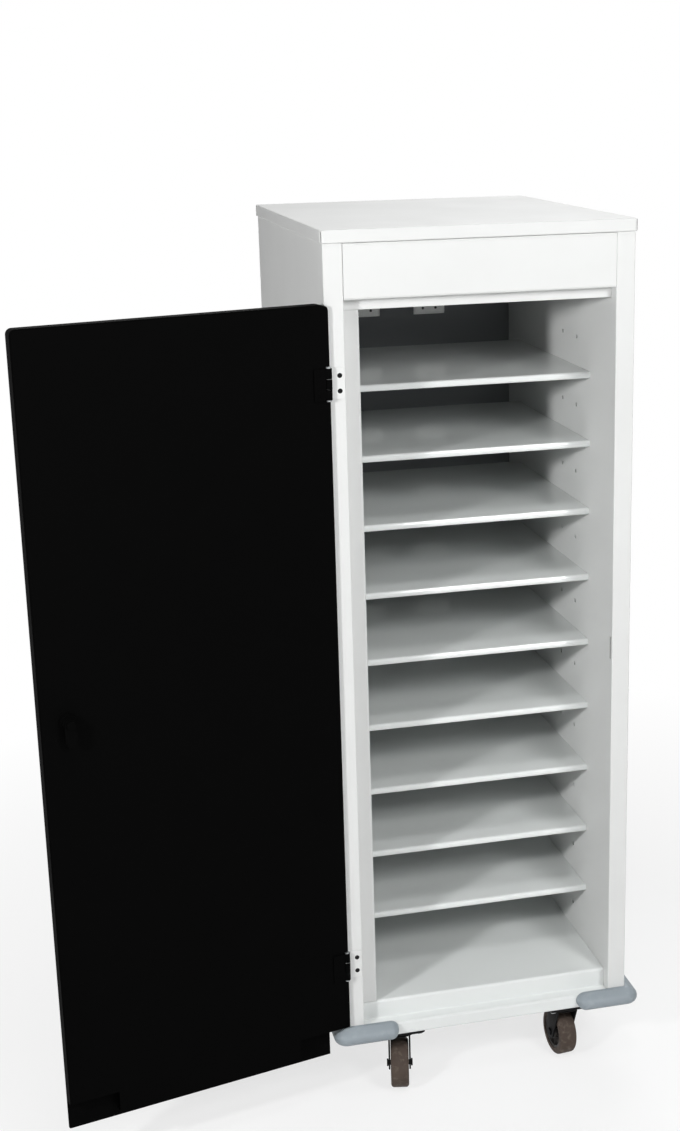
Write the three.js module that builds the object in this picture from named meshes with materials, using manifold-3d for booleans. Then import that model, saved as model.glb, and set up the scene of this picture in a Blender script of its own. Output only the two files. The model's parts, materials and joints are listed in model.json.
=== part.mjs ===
// Laptop charging cart: a tall sheet-steel cabinet on four swivel casters, with fixed shelves,
// rows of power outlets at the back and one full-height door, shown open on its left-hand hinges.
// Millimetres. +X to the right, +Y to the back, +Z up. Origin on the floor under the cabinet's middle.
import * as THREE from "three";
import { mergeVertices } from "three/addons/utils/BufferGeometryUtils.js";
import Module from "manifold-3d";

const wasm = await Module();
wasm.setup();

// Cabinet
const width = 450;
const depth = 540;
const groundClearance = 100;
const bodyHeight = 1208;
const sideThickness = 28;
const sheet = 1.5;
const bend = 2.5;
const bendSteps = 2;
const wallBend = 1.8;
const seat = 0.3;
const flange = 16;

// Lid
const lidHeight = 18;
const lidOverhang = 3;
const lidCorner = 6;
const lidEdge = 1.5;
const lidReturn = 22;

// Front of the cabinet round the door opening
const headerHeight = 77.5;
const recess = 20;
const topRailHeight = 15.5;
const railHeight = 22;
const sillHeight = 30;
const postWidth = 25;
const postDepth = 30;
const baseUpstand = 24;
const ceilingUpstand = 30;

// Shelves
const shelfCount = 9;
const shelfPitch = 104.7;
const shelfSetback = 104;
const shelfDepth = 356;
const shelfLip = 10;
const shelfHem = 7;
const shelfFlange = 15;
const screwDrop = 8;
const fixingHole = 3.5;
const fixingFirst = 64;
const fixingSpacing = 64;
const fixingColumns = 2;
const drainHole = 3.5;
const drainSetback = 29;

// Power outlets at the back
const linerSetback = 23;
const linerTopGap = 20;
const outletColumn = 56;
const outletWidth = 53;
const outletHeight = 24;
const outletRise = 55;
const outletProud = 1.5;
const stripWidth = 66;
const stripDepth = 12;
const stripEnd = 26;

// Back panel vents
const ventLength = 70;
const ventWidth = 7;
const ventPitchX = 92;
const ventPitchZ = 18;
const ventColumns = 4;
const ventRows = 4;
const ventEdge = 90;
const backFlange = 8;

// Mains entry and switch in the top compartment
const entryInset = 105;
const entryWidth = 64;
const entryHeight = 34;
const entryFlange = 2.5;
const entryLip = 4;
const entryDepth = 24;
const inletWidth = 25;
const inletHeight = 17;
const inletChamfer = 5;
const inletDepth = 16;
const inletOffset = 12;
const rockerWidth = 12;
const rockerHeight = 18;
const rockerDepth = 6;
const rockerCrown = 1.6;
const rockerTilt = 10;
const rockerOffset = 17;
const rockerClearance = 0.6;
const powerUnitLength = 210;
const powerUnitDepth = 130;
const powerUnitHeight = 52;
const powerUnitSetback = 150;
const powerUnitFoot = 14;

// Door
const doorOpenAngle = 167;
const doorReveal = 6;
const doorLockReveal = 12;
const doorTopGap = 3;
const doorOverlap = 5;
const doorSkirt = 12;
const doorThickness = 18;
const doorLinerReach = 4.5;
const doorGap = 4.6;
const doorTopCorner = 8;
const doorBottomCorner = 3;

// Door hinges
const hingeInset = 3;
const hingeOffset = 5.2;
const hingeTopInset = 109.5;
const hingeFootInset = 137;
const hingeHeight = 44;
const knuckleRadius = 4.5;
const leafThickness = 1.6;
const leafWidth = 23;
const hingePinRadius = 2.5;
const hingePinHead = 3.6;
const hingePinHeadHeight = 1.5;
const runningFit = 0.06;
const knuckleSides = 12;

// Quarter-turn lock on the door
const lockSetback = 22;
const lockHeight = 700;
const lockBarrel = 9.5;
const escutcheonRadius = 17;
const escutcheonThickness = 5;
const lockNut = 13;
const lockNutThickness = 5;
const lockSpindle = 5;
const lockScrew = 3.5;
const lockScrewHead = 6;
const lockScrewHeadHeight = 2.5;
const camLength = 32;
const camWidth = 16;
const camThickness = 3;
const camPlane = 6;
const camClearance = 1;
const leverLength = 62;
const leverWidth = 15;
const leverThickness = 9;
const leverNeck = 8;
const lockSides = 12;

// Corner bumpers
const bumperLeg = 81;
const bumperHeight = 26;
const bumperRise = 1;
const bumperFlare = 20;
const bumperTop = 9;
const bumperEdge = 3;
const bumperRound = 16;
const bumperSteps = 5;
const bumperClearance = 3;

// Casters
const casterSideInset = 90;
const casterEndInset = 36;
const wheelRadius = 37.5;
const treadWidth = 23;
const tyreWidth = 28;
const tyreThickness = 10;
const tyreShoulder = 3;
const hubWidth = 28;
const hubWeb = 9;
const hubRim = 4;
const hubBoss = 11;
const wheelSides = 24;
const axleRadius = 4;
const axleHead = 6.5;
const axleHeadHeight = 2.5;
const casterTrail = 12;
const forkThickness = 2.5;
const forkClearance = 0.8;
const forkCrownRadius = 29;
const forkCrownHeight = 7;
const forkHeelLength = 17;
const forkEye = 11;
const casterPlate = 70;
const casterPlateThickness = 3;
const casterPlateCorner = 8;
const casterBolt = 4;
const casterBoltSpacing = 52;
const bearingRadius = 24;
const bearingHeight = 4;
const kingPin = 5;
const kingPinHead = 9;
const kingPinHeadHeight = 3;
const casterSides = 12;
const casterHeadings = { front_left: -13, front_right: 186, rear_left: 158, rear_right: 193 };

// Places that follow from the sizes above
const cut = 20;
const halfWidth = width / 2;
const wallInside = halfWidth - sideThickness;
const entryX = halfWidth - entryInset;
const bodyBottom = groundClearance;
const bodyTop = bodyBottom + bodyHeight;
const openingTop = bodyTop - headerHeight;
const railTop = bodyBottom + railHeight;
const floorTop = railTop + sillHeight;
const backInner = depth - sheet;
const linerFront = depth - linerSetback;
const ceilingBottom = openingTop + sheet + seat;
const entryZ = (ceilingBottom + bodyTop) / 2;
const hingeX = -halfWidth + hingeInset;
const doorHingeEdge = -halfWidth + doorReveal - hingeX;
const doorFreeEdge = halfWidth - doorLockReveal - hingeX;
const linerFold = doorLinerReach + sheet + seat;
const doorBottom = bodyBottom - doorOverlap;
const doorTop = openingTop - doorTopGap;
const hingeUpper = doorTop - hingeTopInset;
const hingeLower = doorBottom + hingeFootInset;
const doorInner = hingeOffset - doorGap;
const doorOuter = doorInner - doorThickness;
const lockU = wallInside - lockSetback - hingeX;
const camInner = hingeOffset + camPlane;
const bumperBottom = bodyBottom + bumperRise;
const bumperCrest = bumperBottom + bumperHeight;

const finishes = {
  white: { color: 0xeeeeec, roughness: 0.45, metalness: 0.1 },
  black: { color: 0x0a0a0b, roughness: 0.5, metalness: 0.1 },
  bumper: { color: 0xa0a8b2, roughness: 0.6, metalness: 0 },
  zinc: { color: 0xb4b6b8, roughness: 0.35, metalness: 0.9 },
  fork: { color: 0x17171a, roughness: 0.5, metalness: 0.2 },
  tyre: { color: 0x4c423d, roughness: 0.8, metalness: 0 },
  hub: { color: 0x2b2826, roughness: 0.6, metalness: 0 },
  charcoal: { color: 0x2e3133, roughness: 0.6, metalness: 0.1 },
  outlet: { color: 0xc9cdca, roughness: 0.5, metalness: 0 },
};

// A closed mesh as a solid that can be joined and cut.
function solid(geometry) {
  const weldDistance = 1e-4;
  const bare = geometry.clone();
  bare.deleteAttribute("normal");
  bare.deleteAttribute("uv");
  const merged = mergeVertices(bare, weldDistance);
  return new wasm.Manifold(
    new wasm.Mesh({
      numProp: 3,
      vertProperties: merged.attributes.position.array,
      triVerts: new Uint32Array(merged.index.array),
    }),
  );
}

// One geometry from a body with pieces joined to it and then others cut from it.
function shaped(body, { plus = [], minus = [] }) {
  let made = solid(body);
  plus.forEach((piece) => {
    made = made.add(solid(piece));
  });
  minus.forEach((piece) => {
    made = made.subtract(solid(piece));
  });
  const mesh = made.getMesh();
  const geometry = new THREE.BufferGeometry();
  geometry.setAttribute("position", new THREE.BufferAttribute(mesh.vertProperties, 3));
  geometry.setIndex(new THREE.BufferAttribute(mesh.triVerts, 1));
  return geometry;
}

// A box between two limits on each axis.
function block(x0, x1, y0, y1, z0, z1) {
  const box = new THREE.BoxGeometry(x1 - x0, y1 - y0, z1 - z0);
  return box.translate((x0 + x1) / 2, (y0 + y1) / 2, (z0 + z1) / 2);
}

function polygon(points) {
  return new THREE.Shape(points.map(([x, y]) => new THREE.Vector2(x, y)));
}

// A rectangle whose corners have one radius at the low side and one at the high side.
function roundedRectangle(x0, x1, y0, y1, low, high = low) {
  const shape = new THREE.Shape();
  shape.absarc(x0 + low, y0 + low, low, Math.PI, 1.5 * Math.PI);
  shape.absarc(x1 - low, y0 + low, low, 1.5 * Math.PI, 2 * Math.PI);
  shape.absarc(x1 - high, y1 - high, high, 0, 0.5 * Math.PI);
  shape.absarc(x0 + high, y1 - high, high, 0.5 * Math.PI, Math.PI);
  shape.closePath();
  return shape;
}

// A slot with round ends, its long side level.
function slot(x, y, length, across) {
  const half = length / 2 - across / 2;
  const path = new THREE.Shape();
  path.absarc(x + half, y, across / 2, -0.5 * Math.PI, 0.5 * Math.PI);
  path.absarc(x - half, y, across / 2, 0.5 * Math.PI, 1.5 * Math.PI);
  path.closePath();
  return path;
}

// A shape drawn in plan and raised along Z.
function raised(shape, height, curveSegments = bendSteps) {
  return new THREE.ExtrudeGeometry(shape, { depth: height, bevelEnabled: false, curveSegments });
}

const axisX = new THREE.Vector3(1, 0, 0);
const axisY = new THREE.Vector3(0, 1, 0);
const axisZ = new THREE.Vector3(0, 0, 1);
const towardsX = new THREE.Matrix4().makeBasis(axisY, axisZ, axisX);
const towardsFront = new THREE.Matrix4().makeBasis(axisX, axisZ, axisY.clone().negate());

// A side view, drawn with Y across and Z up, carried along X from one limit to the other.
function alongX(shape, x0, x1, curveSegments) {
  return raised(shape, x1 - x0, curveSegments).applyMatrix4(towardsX).translate(x0, 0, 0);
}

// A front view, drawn with X across and Z up, carried from the back limit to the front one.
function alongY(shape, front, back, curveSegments) {
  return raised(shape, back - front, curveSegments).applyMatrix4(towardsFront).translate(0, back, 0);
}

// A rod along X, Y or Z, as a prism with the given number of sides.
function rod(axis, radius, from, to, sides, [a, b] = [0, 0]) {
  const made = new THREE.CylinderGeometry(radius, radius, to - from, sides);
  const middle = (from + to) / 2;
  if (axis === "x") return made.rotateZ(Math.PI / 2).translate(middle, a, b);
  if (axis === "y") return made.translate(a, middle, b);
  return made.rotateX(Math.PI / 2).translate(a, b, middle);
}

// A bore in which a prism of as many sides turns freely.
function boreFor(radius, sides) {
  return (radius + runningFit) / Math.cos(Math.PI / sides);
}

// The outline of a bent sheet whose middle line runs through the corners.
function foldedSheet(corners) {
  const left = [];
  const right = [];
  const station = (point, angle) => {
    const normal = new THREE.Vector2(-Math.sin(angle), Math.cos(angle)).multiplyScalar(sheet / 2);
    left.push(point.clone().add(normal));
    right.unshift(point.clone().sub(normal));
  };
  const points = corners.map(([x, y]) => new THREE.Vector2(x, y));
  const runs = points.slice(1).map((point, i) => point.clone().sub(points[i]).angle());
  station(points[0], runs[0]);
  for (let i = 1; i < runs.length; i += 1) {
    const turn = Math.atan2(Math.sin(runs[i] - runs[i - 1]), Math.cos(runs[i] - runs[i - 1]));
    const side = Math.sign(turn);
    const setback = bend * Math.tan(Math.abs(turn) / 2);
    const centre = points[i]
      .clone()
      .add(new THREE.Vector2(-setback, side * bend).rotateAround(new THREE.Vector2(), runs[i - 1]));
    for (let k = 0; k <= bendSteps; k += 1) {
      const angle = runs[i - 1] + (turn * k) / bendSteps;
      const out = new THREE.Vector2(Math.sin(angle), -Math.cos(angle)).multiplyScalar(side * bend);
      station(centre.clone().add(out), angle);
    }
  }
  station(points.at(-1), runs.at(-1));
  return new THREE.Shape([...left, ...right]);
}

// A closed body through level outlines of as many points each, anticlockwise from above.
function loft(outlines, heights) {
  const count = outlines[0].length;
  const positions = outlines.flatMap((ring, level) => ring.flatMap(([x, y]) => [x, y, heights[level]]));
  const index = [];
  for (let level = 0; level + 1 < outlines.length; level += 1) {
    for (let i = 0; i < count; i += 1) {
      const a = level * count + i;
      const b = level * count + ((i + 1) % count);
      index.push(a, b, b + count, a, b + count, a + count);
    }
  }
  const cap = (ring) => THREE.ShapeUtils.triangulateShape(ring.map(([x, y]) => new THREE.Vector2(x, y)), []);
  const last = (outlines.length - 1) * count;
  cap(outlines[0]).forEach(([a, b, c]) => index.push(a, c, b));
  cap(outlines.at(-1)).forEach(([a, b, c]) => index.push(last + a, last + b, last + c));
  const geometry = new THREE.BufferGeometry();
  geometry.setAttribute("position", new THREE.Float32BufferAttribute(positions, 3));
  geometry.setIndex(index);
  return geometry;
}

// An upright plate on a lattice of X and Z lines, open in every cell that is odd on both axes.
function latticePlate(xs, zs, front, back) {
  const open = (i, j) => i % 2 === 1 && j % 2 === 1;
  const solidCell = (i, j) =>
    i >= 0 && j >= 0 && i + 1 < xs.length && j + 1 < zs.length && !open(i, j);
  const positions = [];
  const quad = (a, b, c, d) => positions.push(...a, ...b, ...c, ...a, ...c, ...d);
  for (let i = 0; i + 1 < xs.length; i += 1) {
    for (let j = 0; j + 1 < zs.length; j += 1) {
      const [x0, x1, z0, z1] = [xs[i], xs[i + 1], zs[j], zs[j + 1]];
      if (!solidCell(i, j)) continue;
      quad([x0, front, z0], [x1, front, z0], [x1, front, z1], [x0, front, z1]);
      quad([x1, back, z0], [x0, back, z0], [x0, back, z1], [x1, back, z1]);
      if (!solidCell(i - 1, j)) quad([x0, back, z0], [x0, front, z0], [x0, front, z1], [x0, back, z1]);
      if (!solidCell(i + 1, j)) quad([x1, front, z0], [x1, back, z0], [x1, back, z1], [x1, front, z1]);
      if (!solidCell(i, j - 1)) quad([x0, back, z0], [x1, back, z0], [x1, front, z0], [x0, front, z0]);
      if (!solidCell(i, j + 1)) quad([x0, front, z1], [x1, front, z1], [x1, back, z1], [x0, back, z1]);
    }
  }
  const geometry = new THREE.BufferGeometry();
  geometry.setAttribute("position", new THREE.Float32BufferAttribute(positions, 3));
  return mergeVertices(geometry);
}

// A body turned about an upright axis from half its section, which closes on itself or on the axis.
function turned(section, sides) {
  const points = section.map(([radius, height]) => new THREE.Vector2(radius, height));
  return new THREE.LatheGeometry(points, sides).rotateX(Math.PI / 2);
}

function addPiece(group, name, geometry, finish) {
  const piece = new THREE.Mesh(geometry, new THREE.MeshStandardMaterial(finishes[finish]));
  piece.name = name;
  group.add(piece);
}

function shelfTop(number) {
  return floorTop + number * shelfPitch;
}

// Side panel: a double-skinned wall, closed at the front and back edges, with rows of spare shelf
// fixing holes in its inner skin. The side is -1 for the left wall and 1 for the right one.
function sidePanel(side) {
  const low = Math.min(side * halfWidth, side * wallInside);
  const high = Math.max(side * halfWidth, side * wallInside);
  const plan = roundedRectangle(low, high, 0, depth, wallBend);
  plan.holes.push(roundedRectangle(low + sheet, high - sheet, sheet, depth - sheet, wallBend - sheet));
  const wall = raised(plan, bodyHeight).translate(0, 0, bodyBottom);
  const from = Math.min(side * (wallInside - sheet), side * (wallInside + 2 * sheet));
  const to = from + 3 * sheet;
  const holeSides = 6;
  const holes = [];
  for (let bay = 0; bay <= shelfCount; bay += 1) {
    const z = shelfTop(bay) - screwDrop + shelfPitch / 2;
    for (let column = 0; column < fixingColumns; column += 1) {
      const y = shelfSetback + fixingFirst + column * fixingSpacing;
      holes.push(rod("x", fixingHole, from, to, holeSides, [y, z]));
    }
  }
  if (side > 0) {
    const camReach = Math.hypot(camLength, camWidth / 2);
    const slotBottom = lockHeight - Math.sqrt(camReach ** 2 - lockSetback ** 2) - camClearance;
    const slotTop = lockHeight + camWidth / 2 + camClearance;
    const slotFront = camPlane - camClearance;
    const slotBack = camPlane + camThickness + camClearance;
    holes.push(block(from, to, slotFront, slotBack, slotBottom, slotTop));
    holes.push(rod("x", drainHole, from, to, holeSides, [recess + drainSetback, railTop + drainHole]));
  }
  return shaped(wall, { minus: holes });
}

// Back panel: one flat sheet between the side walls with turned-in edges, two fields of vent slots
// and the cut-out for the mains entry.
function backPanel() {
  const half = wallInside - seat;
  const low = bodyBottom + seat;
  const high = bodyTop - seat;
  const face = polygon([
    [-half, low],
    [half, low],
    [half, high],
    [-half, high],
  ]);
  const vents = [];
  [low + ventEdge, openingTop - ventEdge - (ventRows - 1) * ventPitchZ].forEach((start) => {
    for (let row = 0; row < ventRows; row += 1) {
      for (let column = 0; column < ventColumns; column += 1) {
        const x = (column - (ventColumns - 1) / 2) * ventPitchX;
        const opening = slot(x, start + row * ventPitchZ, ventLength, ventWidth);
        vents.push(alongY(opening, backInner - cut, depth + cut, 1));
      }
    }
  });
  const plate = alongY(face, backInner, depth);
  const flangeFront = backInner - backFlange;
  const flanges = [
    block(-half, -half + sheet, flangeFront, depth, low, high),
    block(half - sheet, half, flangeFront, depth, low, high),
    block(-half, half, flangeFront, depth, low, low + sheet),
    block(-half, half, flangeFront, depth, high - sheet, high),
  ];
  const halfEntry = entryWidth / 2 - entryLip + seat;
  const halfRise = entryHeight / 2 - entryLip + seat;
  const window = block(
    entryX - halfEntry,
    entryX + halfEntry,
    backInner - cut,
    depth + cut,
    entryZ - halfRise,
    entryZ + halfRise,
  );
  return shaped(plate, { plus: flanges, minus: [window, ...vents] });
}

// The height of the outlet in each bay, from the bottom.
function outletCentres() {
  return Array.from({ length: shelfCount + 1 }, (_, bay) => shelfTop(bay) + outletRise);
}

// Dark inner back wall with a window for every outlet.
function rearLiner() {
  const half = wallInside - seat;
  const halfW = outletWidth / 2 + seat;
  const halfH = outletHeight / 2 + seat;
  const xs = [-half, ...[-outletColumn, outletColumn].flatMap((x) => [x - halfW, x + halfW]), half];
  const rows = outletCentres().flatMap((z) => [z - halfH, z + halfH]);
  const zs = [floorTop + seat, ...rows, openingTop - linerTopGap];
  return latticePlate(xs, zs, linerFront, linerFront + sheet);
}

// Power strip: a long housing behind the inner back wall with one raised outlet in each bay.
function powerStrip(x) {
  const front = linerFront + sheet + seat;
  const rows = outletCentres();
  const low = rows[0] - stripEnd;
  const high = rows.at(-1) + stripEnd;
  const corner = 3;
  const plan = roundedRectangle(x - stripWidth / 2, x + stripWidth / 2, front, front + stripDepth, corner);
  const body = raised(plan, high - low).translate(0, 0, low);
  const face = linerFront - outletProud;
  const bosses = rows.map((z) => {
    const outline = roundedRectangle(
      x - outletWidth / 2,
      x + outletWidth / 2,
      z - outletHeight / 2,
      z + outletHeight / 2,
      corner,
    );
    return alongY(outline, face, front + sheet, 1);
  });
  return shaped(body, { plus: bosses });
}

// Floor: one folded sheet that makes the front rail, the ledge, the sill, the floor and a rear skirt.
function floorTray() {
  const middle = sheet / 2;
  const back = linerFront - seat - middle;
  const profile = foldedSheet([
    [flange, bodyBottom + middle],
    [middle, bodyBottom + middle],
    [middle, railTop - middle],
    [recess + middle, railTop - middle],
    [recess + middle, floorTop - middle],
    [back, floorTop - middle],
    [back, bodyBottom + flange],
  ]);
  return alongX(profile, -wallInside + seat, wallInside - seat);
}

// Base plate under the floor, which carries the casters, with upstands inside the sill and the skirt.
function basePlate() {
  const middle = sheet / 2;
  const front = recess + sheet + seat + middle;
  const back = linerFront - 2 * seat - sheet - middle;
  const profile = foldedSheet([
    [front, bodyBottom + baseUpstand],
    [front, bodyBottom + middle],
    [back, bodyBottom + middle],
    [back, bodyBottom + baseUpstand],
  ]);
  return alongX(profile, -wallInside + seat, wallInside - seat);
}

// Header: the fascia above the door, turned back along its top and bottom edges.
function headerFascia() {
  const middle = sheet / 2;
  const profile = foldedSheet([
    [flange, bodyTop - middle],
    [middle, bodyTop - middle],
    [middle, openingTop + middle],
    [recess - seat, openingTop + middle],
  ]);
  return alongX(profile, -wallInside + seat, wallInside - seat);
}

// Rail hung below the header at the back of the door recess.
function topRail() {
  const middle = sheet / 2;
  const profile = foldedSheet([
    [recess + middle, openingTop - topRailHeight],
    [recess + middle, openingTop + middle],
    [recess + flange, openingTop + middle],
  ]);
  return alongX(profile, -wallInside + seat, wallInside - seat);
}

// Ceiling of the shelf space and floor of the top compartment.
function ceilingPanel() {
  const middle = sheet / 2;
  const front = recess + middle;
  const back = backInner - backFlange - seat - middle;
  const profile = foldedSheet([
    [front, ceilingBottom + ceilingUpstand],
    [front, ceilingBottom + middle],
    [back, ceilingBottom + middle],
    [back, ceilingBottom + flange],
  ]);
  return alongX(profile, -wallInside + seat, wallInside - seat);
}

// Post behind the hinge-side stile: an open channel from the floor up to the top rail.
function hingePost() {
  const middle = sheet / 2;
  const left = -wallInside + seat + middle;
  const right = -wallInside + postWidth - middle;
  const profile = foldedSheet([
    [left, recess + postDepth],
    [left, recess + middle],
    [right, recess + middle],
    [right, recess + postDepth],
  ]);
  const low = floorTop + seat;
  return raised(profile, openingTop - topRailHeight - seat - low).translate(0, 0, low);
}

// Lid: a shallow box with softened edges, hollow, and turned in underneath to sit on the cabinet.
function lid() {
  const half = halfWidth + lidOverhang;
  const front = -lidOverhang;
  const back = depth + lidOverhang;
  const low = bodyTop + seat;
  const plan = roundedRectangle(-half, half, front, back, lidCorner);
  const box = new THREE.ExtrudeGeometry(plan, {
    depth: lidHeight - 2 * lidEdge,
    bevelThickness: lidEdge,
    bevelSize: lidEdge,
    bevelOffset: -lidEdge,
    bevelSegments: 2,
    curveSegments: bendSteps,
  }).translate(0, 0, low + lidEdge);
  const hollow = block(
    -half + sheet,
    half - sheet,
    front + sheet,
    back - sheet,
    low + sheet,
    low + lidHeight - sheet,
  );
  const mouth = block(
    -half + lidReturn,
    half - lidReturn,
    front + lidReturn,
    back - lidReturn,
    low - cut,
    low + 2 * sheet,
  );
  return shaped(box, { minus: [hollow, mouth] });
}

// Shelf: a sheet with a hemmed front lip, a turned-down back and flanges against both side walls.
function shelf(number) {
  const middle = sheet / 2;
  const top = shelfTop(number) - middle;
  const front = shelfSetback + middle;
  const back = shelfSetback + shelfDepth - middle;
  const end = wallInside - seat;
  const profile = foldedSheet([
    [front + shelfHem, top - shelfLip + sheet],
    [front, top - shelfLip + sheet],
    [front, top],
    [back, top],
    [back, top - shelfLip],
  ]);
  const flanges = [-1, 1].map((side) => {
    const x = side * (end - middle);
    return block(x - middle, x + middle, front + flange, back - flange, top - shelfFlange + middle, top);
  });
  return shaped(alongX(profile, -end, end), { plus: flanges });
}

// Charging control unit in the top compartment: a vented box on two feet.
function powerUnit() {
  const low = ceilingBottom + sheet + seat;
  const front = powerUnitSetback;
  const back = front + powerUnitDepth;
  const half = powerUnitLength / 2;
  const corner = 4;
  const plan = roundedRectangle(-half, half, front, back, corner);
  const box = raised(plan, powerUnitHeight).translate(0, 0, low);
  const feet = [-1, 1].map((side) => {
    const x = side * (half + powerUnitFoot / 2);
    return block(x - powerUnitFoot, x + powerUnitFoot, front + powerUnitFoot, back - powerUnitFoot, low, low + sheet);
  });
  return shaped(box, { plus: feet });
}

// Mains entry: a flanged housing with a plug recess and a window for the switch.
function mainsEntry() {
  const flangeBack = depth + seat + entryFlange;
  const corner = 3;
  const plate = alongY(
    roundedRectangle(
      entryX - entryWidth / 2,
      entryX + entryWidth / 2,
      entryZ - entryHeight / 2,
      entryZ + entryHeight / 2,
      corner,
    ),
    depth + seat,
    flangeBack,
  );
  const housing = block(
    entryX - entryWidth / 2 + entryLip,
    entryX + entryWidth / 2 - entryLip,
    depth - entryDepth,
    flangeBack - sheet,
    entryZ - entryHeight / 2 + entryLip,
    entryZ + entryHeight / 2 - entryLip,
  );
  const inletX = entryX - inletOffset;
  const halfW = inletWidth / 2;
  const halfH = inletHeight / 2;
  const inletShape = polygon([
    [inletX - halfW, entryZ - halfH],
    [inletX + halfW, entryZ - halfH],
    [inletX + halfW, entryZ + halfH - inletChamfer],
    [inletX + halfW - inletChamfer, entryZ + halfH],
    [inletX - halfW + inletChamfer, entryZ + halfH],
    [inletX - halfW, entryZ + halfH - inletChamfer],
  ]);
  const inletBottom = flangeBack - inletDepth;
  const inlet = alongY(inletShape, inletBottom, flangeBack + cut);
  const rockerX = entryX + rockerOffset;
  const halfRocker = rockerWidth / 2 + seat;
  const halfRise = rockerHeight / 2 + rockerClearance;
  const window = block(
    rockerX - halfRocker,
    rockerX + halfRocker,
    flangeBack - 2 * rockerDepth - 2 * seat,
    flangeBack + cut,
    entryZ - halfRise,
    entryZ + halfRise,
  );
  return shaped(plate, { plus: [housing], minus: [inlet, window] });
}

// Rocker of the mains switch about its own pivot, with a crowned outer face and a tapered foot.
function rocker() {
  const half = rockerHeight / 2;
  const foot = half / 2;
  const profile = polygon([
    [-rockerDepth, -foot],
    [0, -half + rockerCrown],
    [rockerCrown, -half + seat],
    [2 * rockerCrown, 0],
    [rockerCrown, half - seat],
    [0, half - rockerCrown],
    [-rockerDepth, foot],
  ]);
  return alongX(profile, -rockerWidth / 2, rockerWidth / 2);
}

// The lower corners of the door leave room for the bumpers: a notch beside the hinge edge and,
// behind the outer skin, a pocket at both corners.
function doorReliefs() {
  const crest = bumperCrest + bumperClearance;
  const reach = bumperLeg + bumperClearance;
  const skinInner = doorOuter + sheet;
  const notchEnd = bumperFlare + hingeInset + bumperClearance;
  const low = doorBottom - doorSkirt - cut;
  return [
    block(-cut, notchEnd, doorOuter - cut, doorInner + cut, low, crest),
    block(-cut, doorHingeEdge - doorReveal + reach, skinInner, doorInner + cut, low, crest),
    block(doorFreeEdge + doorLockReveal - reach, doorFreeEdge + cut, skinInner, doorInner + cut, low, crest),
  ];
}

// Room in the hinge edge of the door for the hinge knuckles.
function knuckleReliefs() {
  const radius = knuckleRadius + 2 * seat;
  const half = hingeHeight / 2 + hingePinHeadHeight + 3 * seat;
  return [hingeUpper, hingeLower].map((z) => block(-cut, radius, -radius, cut, z - half, z + half));
}

function doorOutline(inset, skirt = 0, reach = 0) {
  return roundedRectangle(
    doorHingeEdge + inset - reach,
    doorFreeEdge - inset,
    doorBottom + inset - skirt,
    doorTop - inset,
    Math.max(doorBottomCorner - inset, seat),
    Math.max(doorTopCorner - inset, seat),
  );
}

// Door skin: a tray with its edges turned back towards the cabinet, whose face hangs lower as a skirt.
function doorSkin() {
  const face = alongY(doorOutline(0, doorSkirt), doorOuter, doorOuter + sheet);
  const tray = alongY(doorOutline(0), doorOuter, doorInner);
  const hollow = alongY(doorOutline(sheet), doorOuter + sheet, doorInner + cut);
  const linerRoom = alongY(doorOutline(sheet, 0, linerFold), doorInner - sheet - seat, doorInner + cut);
  const lockHole = rod("y", lockBarrel + seat, doorOuter - cut, doorInner + cut, lockSides, [lockU, lockHeight]);
  const openings = [hollow, linerRoom, ...doorReliefs(), ...knuckleReliefs(), lockHole];
  return shaped(tray, { plus: [face], minus: openings });
}

// Door liner: the flat inner face, set inside the tray's edges but lapped over the hinge edge, and
// stiffened by two folded ribs.
function doorLiner() {
  const plate = alongY(doorOutline(sheet + seat, 0, linerFold), doorInner - sheet, doorInner);
  const lockHole = rod("y", lockBarrel + seat, doorOuter - cut, doorInner + cut, lockSides, [lockU, lockHeight]);
  const ribFront = doorOuter + sheet + seat;
  const ribs = [1, 2].map((place) => {
    const u = doorHingeEdge + (place * (doorFreeEdge - doorHingeEdge)) / 3;
    const end = bumperCrest + bumperClearance + flange;
    return block(u - sheet / 2, u + sheet / 2, ribFront, doorInner - sheet / 2, end, doorTop - flange);
  });
  return shaped(plate, { plus: ribs, minus: [...doorReliefs(), ...knuckleReliefs(), lockHole] });
}

// The three knuckles of a hinge, from the bottom: the outer two turn with the door.
function knuckle(z, place) {
  const height = hingeHeight / 3;
  const low = z - hingeHeight / 2 + place * height + seat / 2;
  return rod("z", knuckleRadius, low, low + height - seat, knuckleSides);
}

function hingeBore(z) {
  return rod("z", boreFor(hingePinRadius, knuckleSides), z - hingeHeight, z + hingeHeight, knuckleSides);
}

// Hinge leaf on the cabinet's front stile, about the hinge axis.
function frameLeaf(z) {
  const face = hingeOffset - seat;
  const half = hingeHeight / 2;
  const leaf = block(0, leafWidth, face - leafThickness, face, z - half, z + half);
  const room = knuckleRadius + 2 * seat;
  const clear = [0, 2].map((place) => {
    const low = z - half + (place * hingeHeight) / 3 - seat;
    return block(-room, room, -room, room, low, low + hingeHeight / 3 + 2 * seat);
  });
  const cleared = shaped(leaf, { minus: clear });
  return shaped(cleared, { plus: [knuckle(z, 1)], minus: [hingeBore(z)] });
}

// Hinge leaf on the inner face of the door, about the hinge axis.
function doorLeaf(z) {
  const face = doorInner + seat;
  const half = hingeHeight / 2;
  const leaf = block(0, leafWidth, face, face + leafThickness, z - half, z + half);
  const room = knuckleRadius + 2 * seat;
  const low = z - hingeHeight / 6 - seat;
  const clear = block(-room, room, -room, room, low, low + hingeHeight / 3 + 2 * seat);
  const cleared = shaped(leaf, { minus: [clear] });
  return shaped(cleared, { plus: [knuckle(z, 0), knuckle(z, 2)], minus: [hingeBore(z)] });
}

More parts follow.
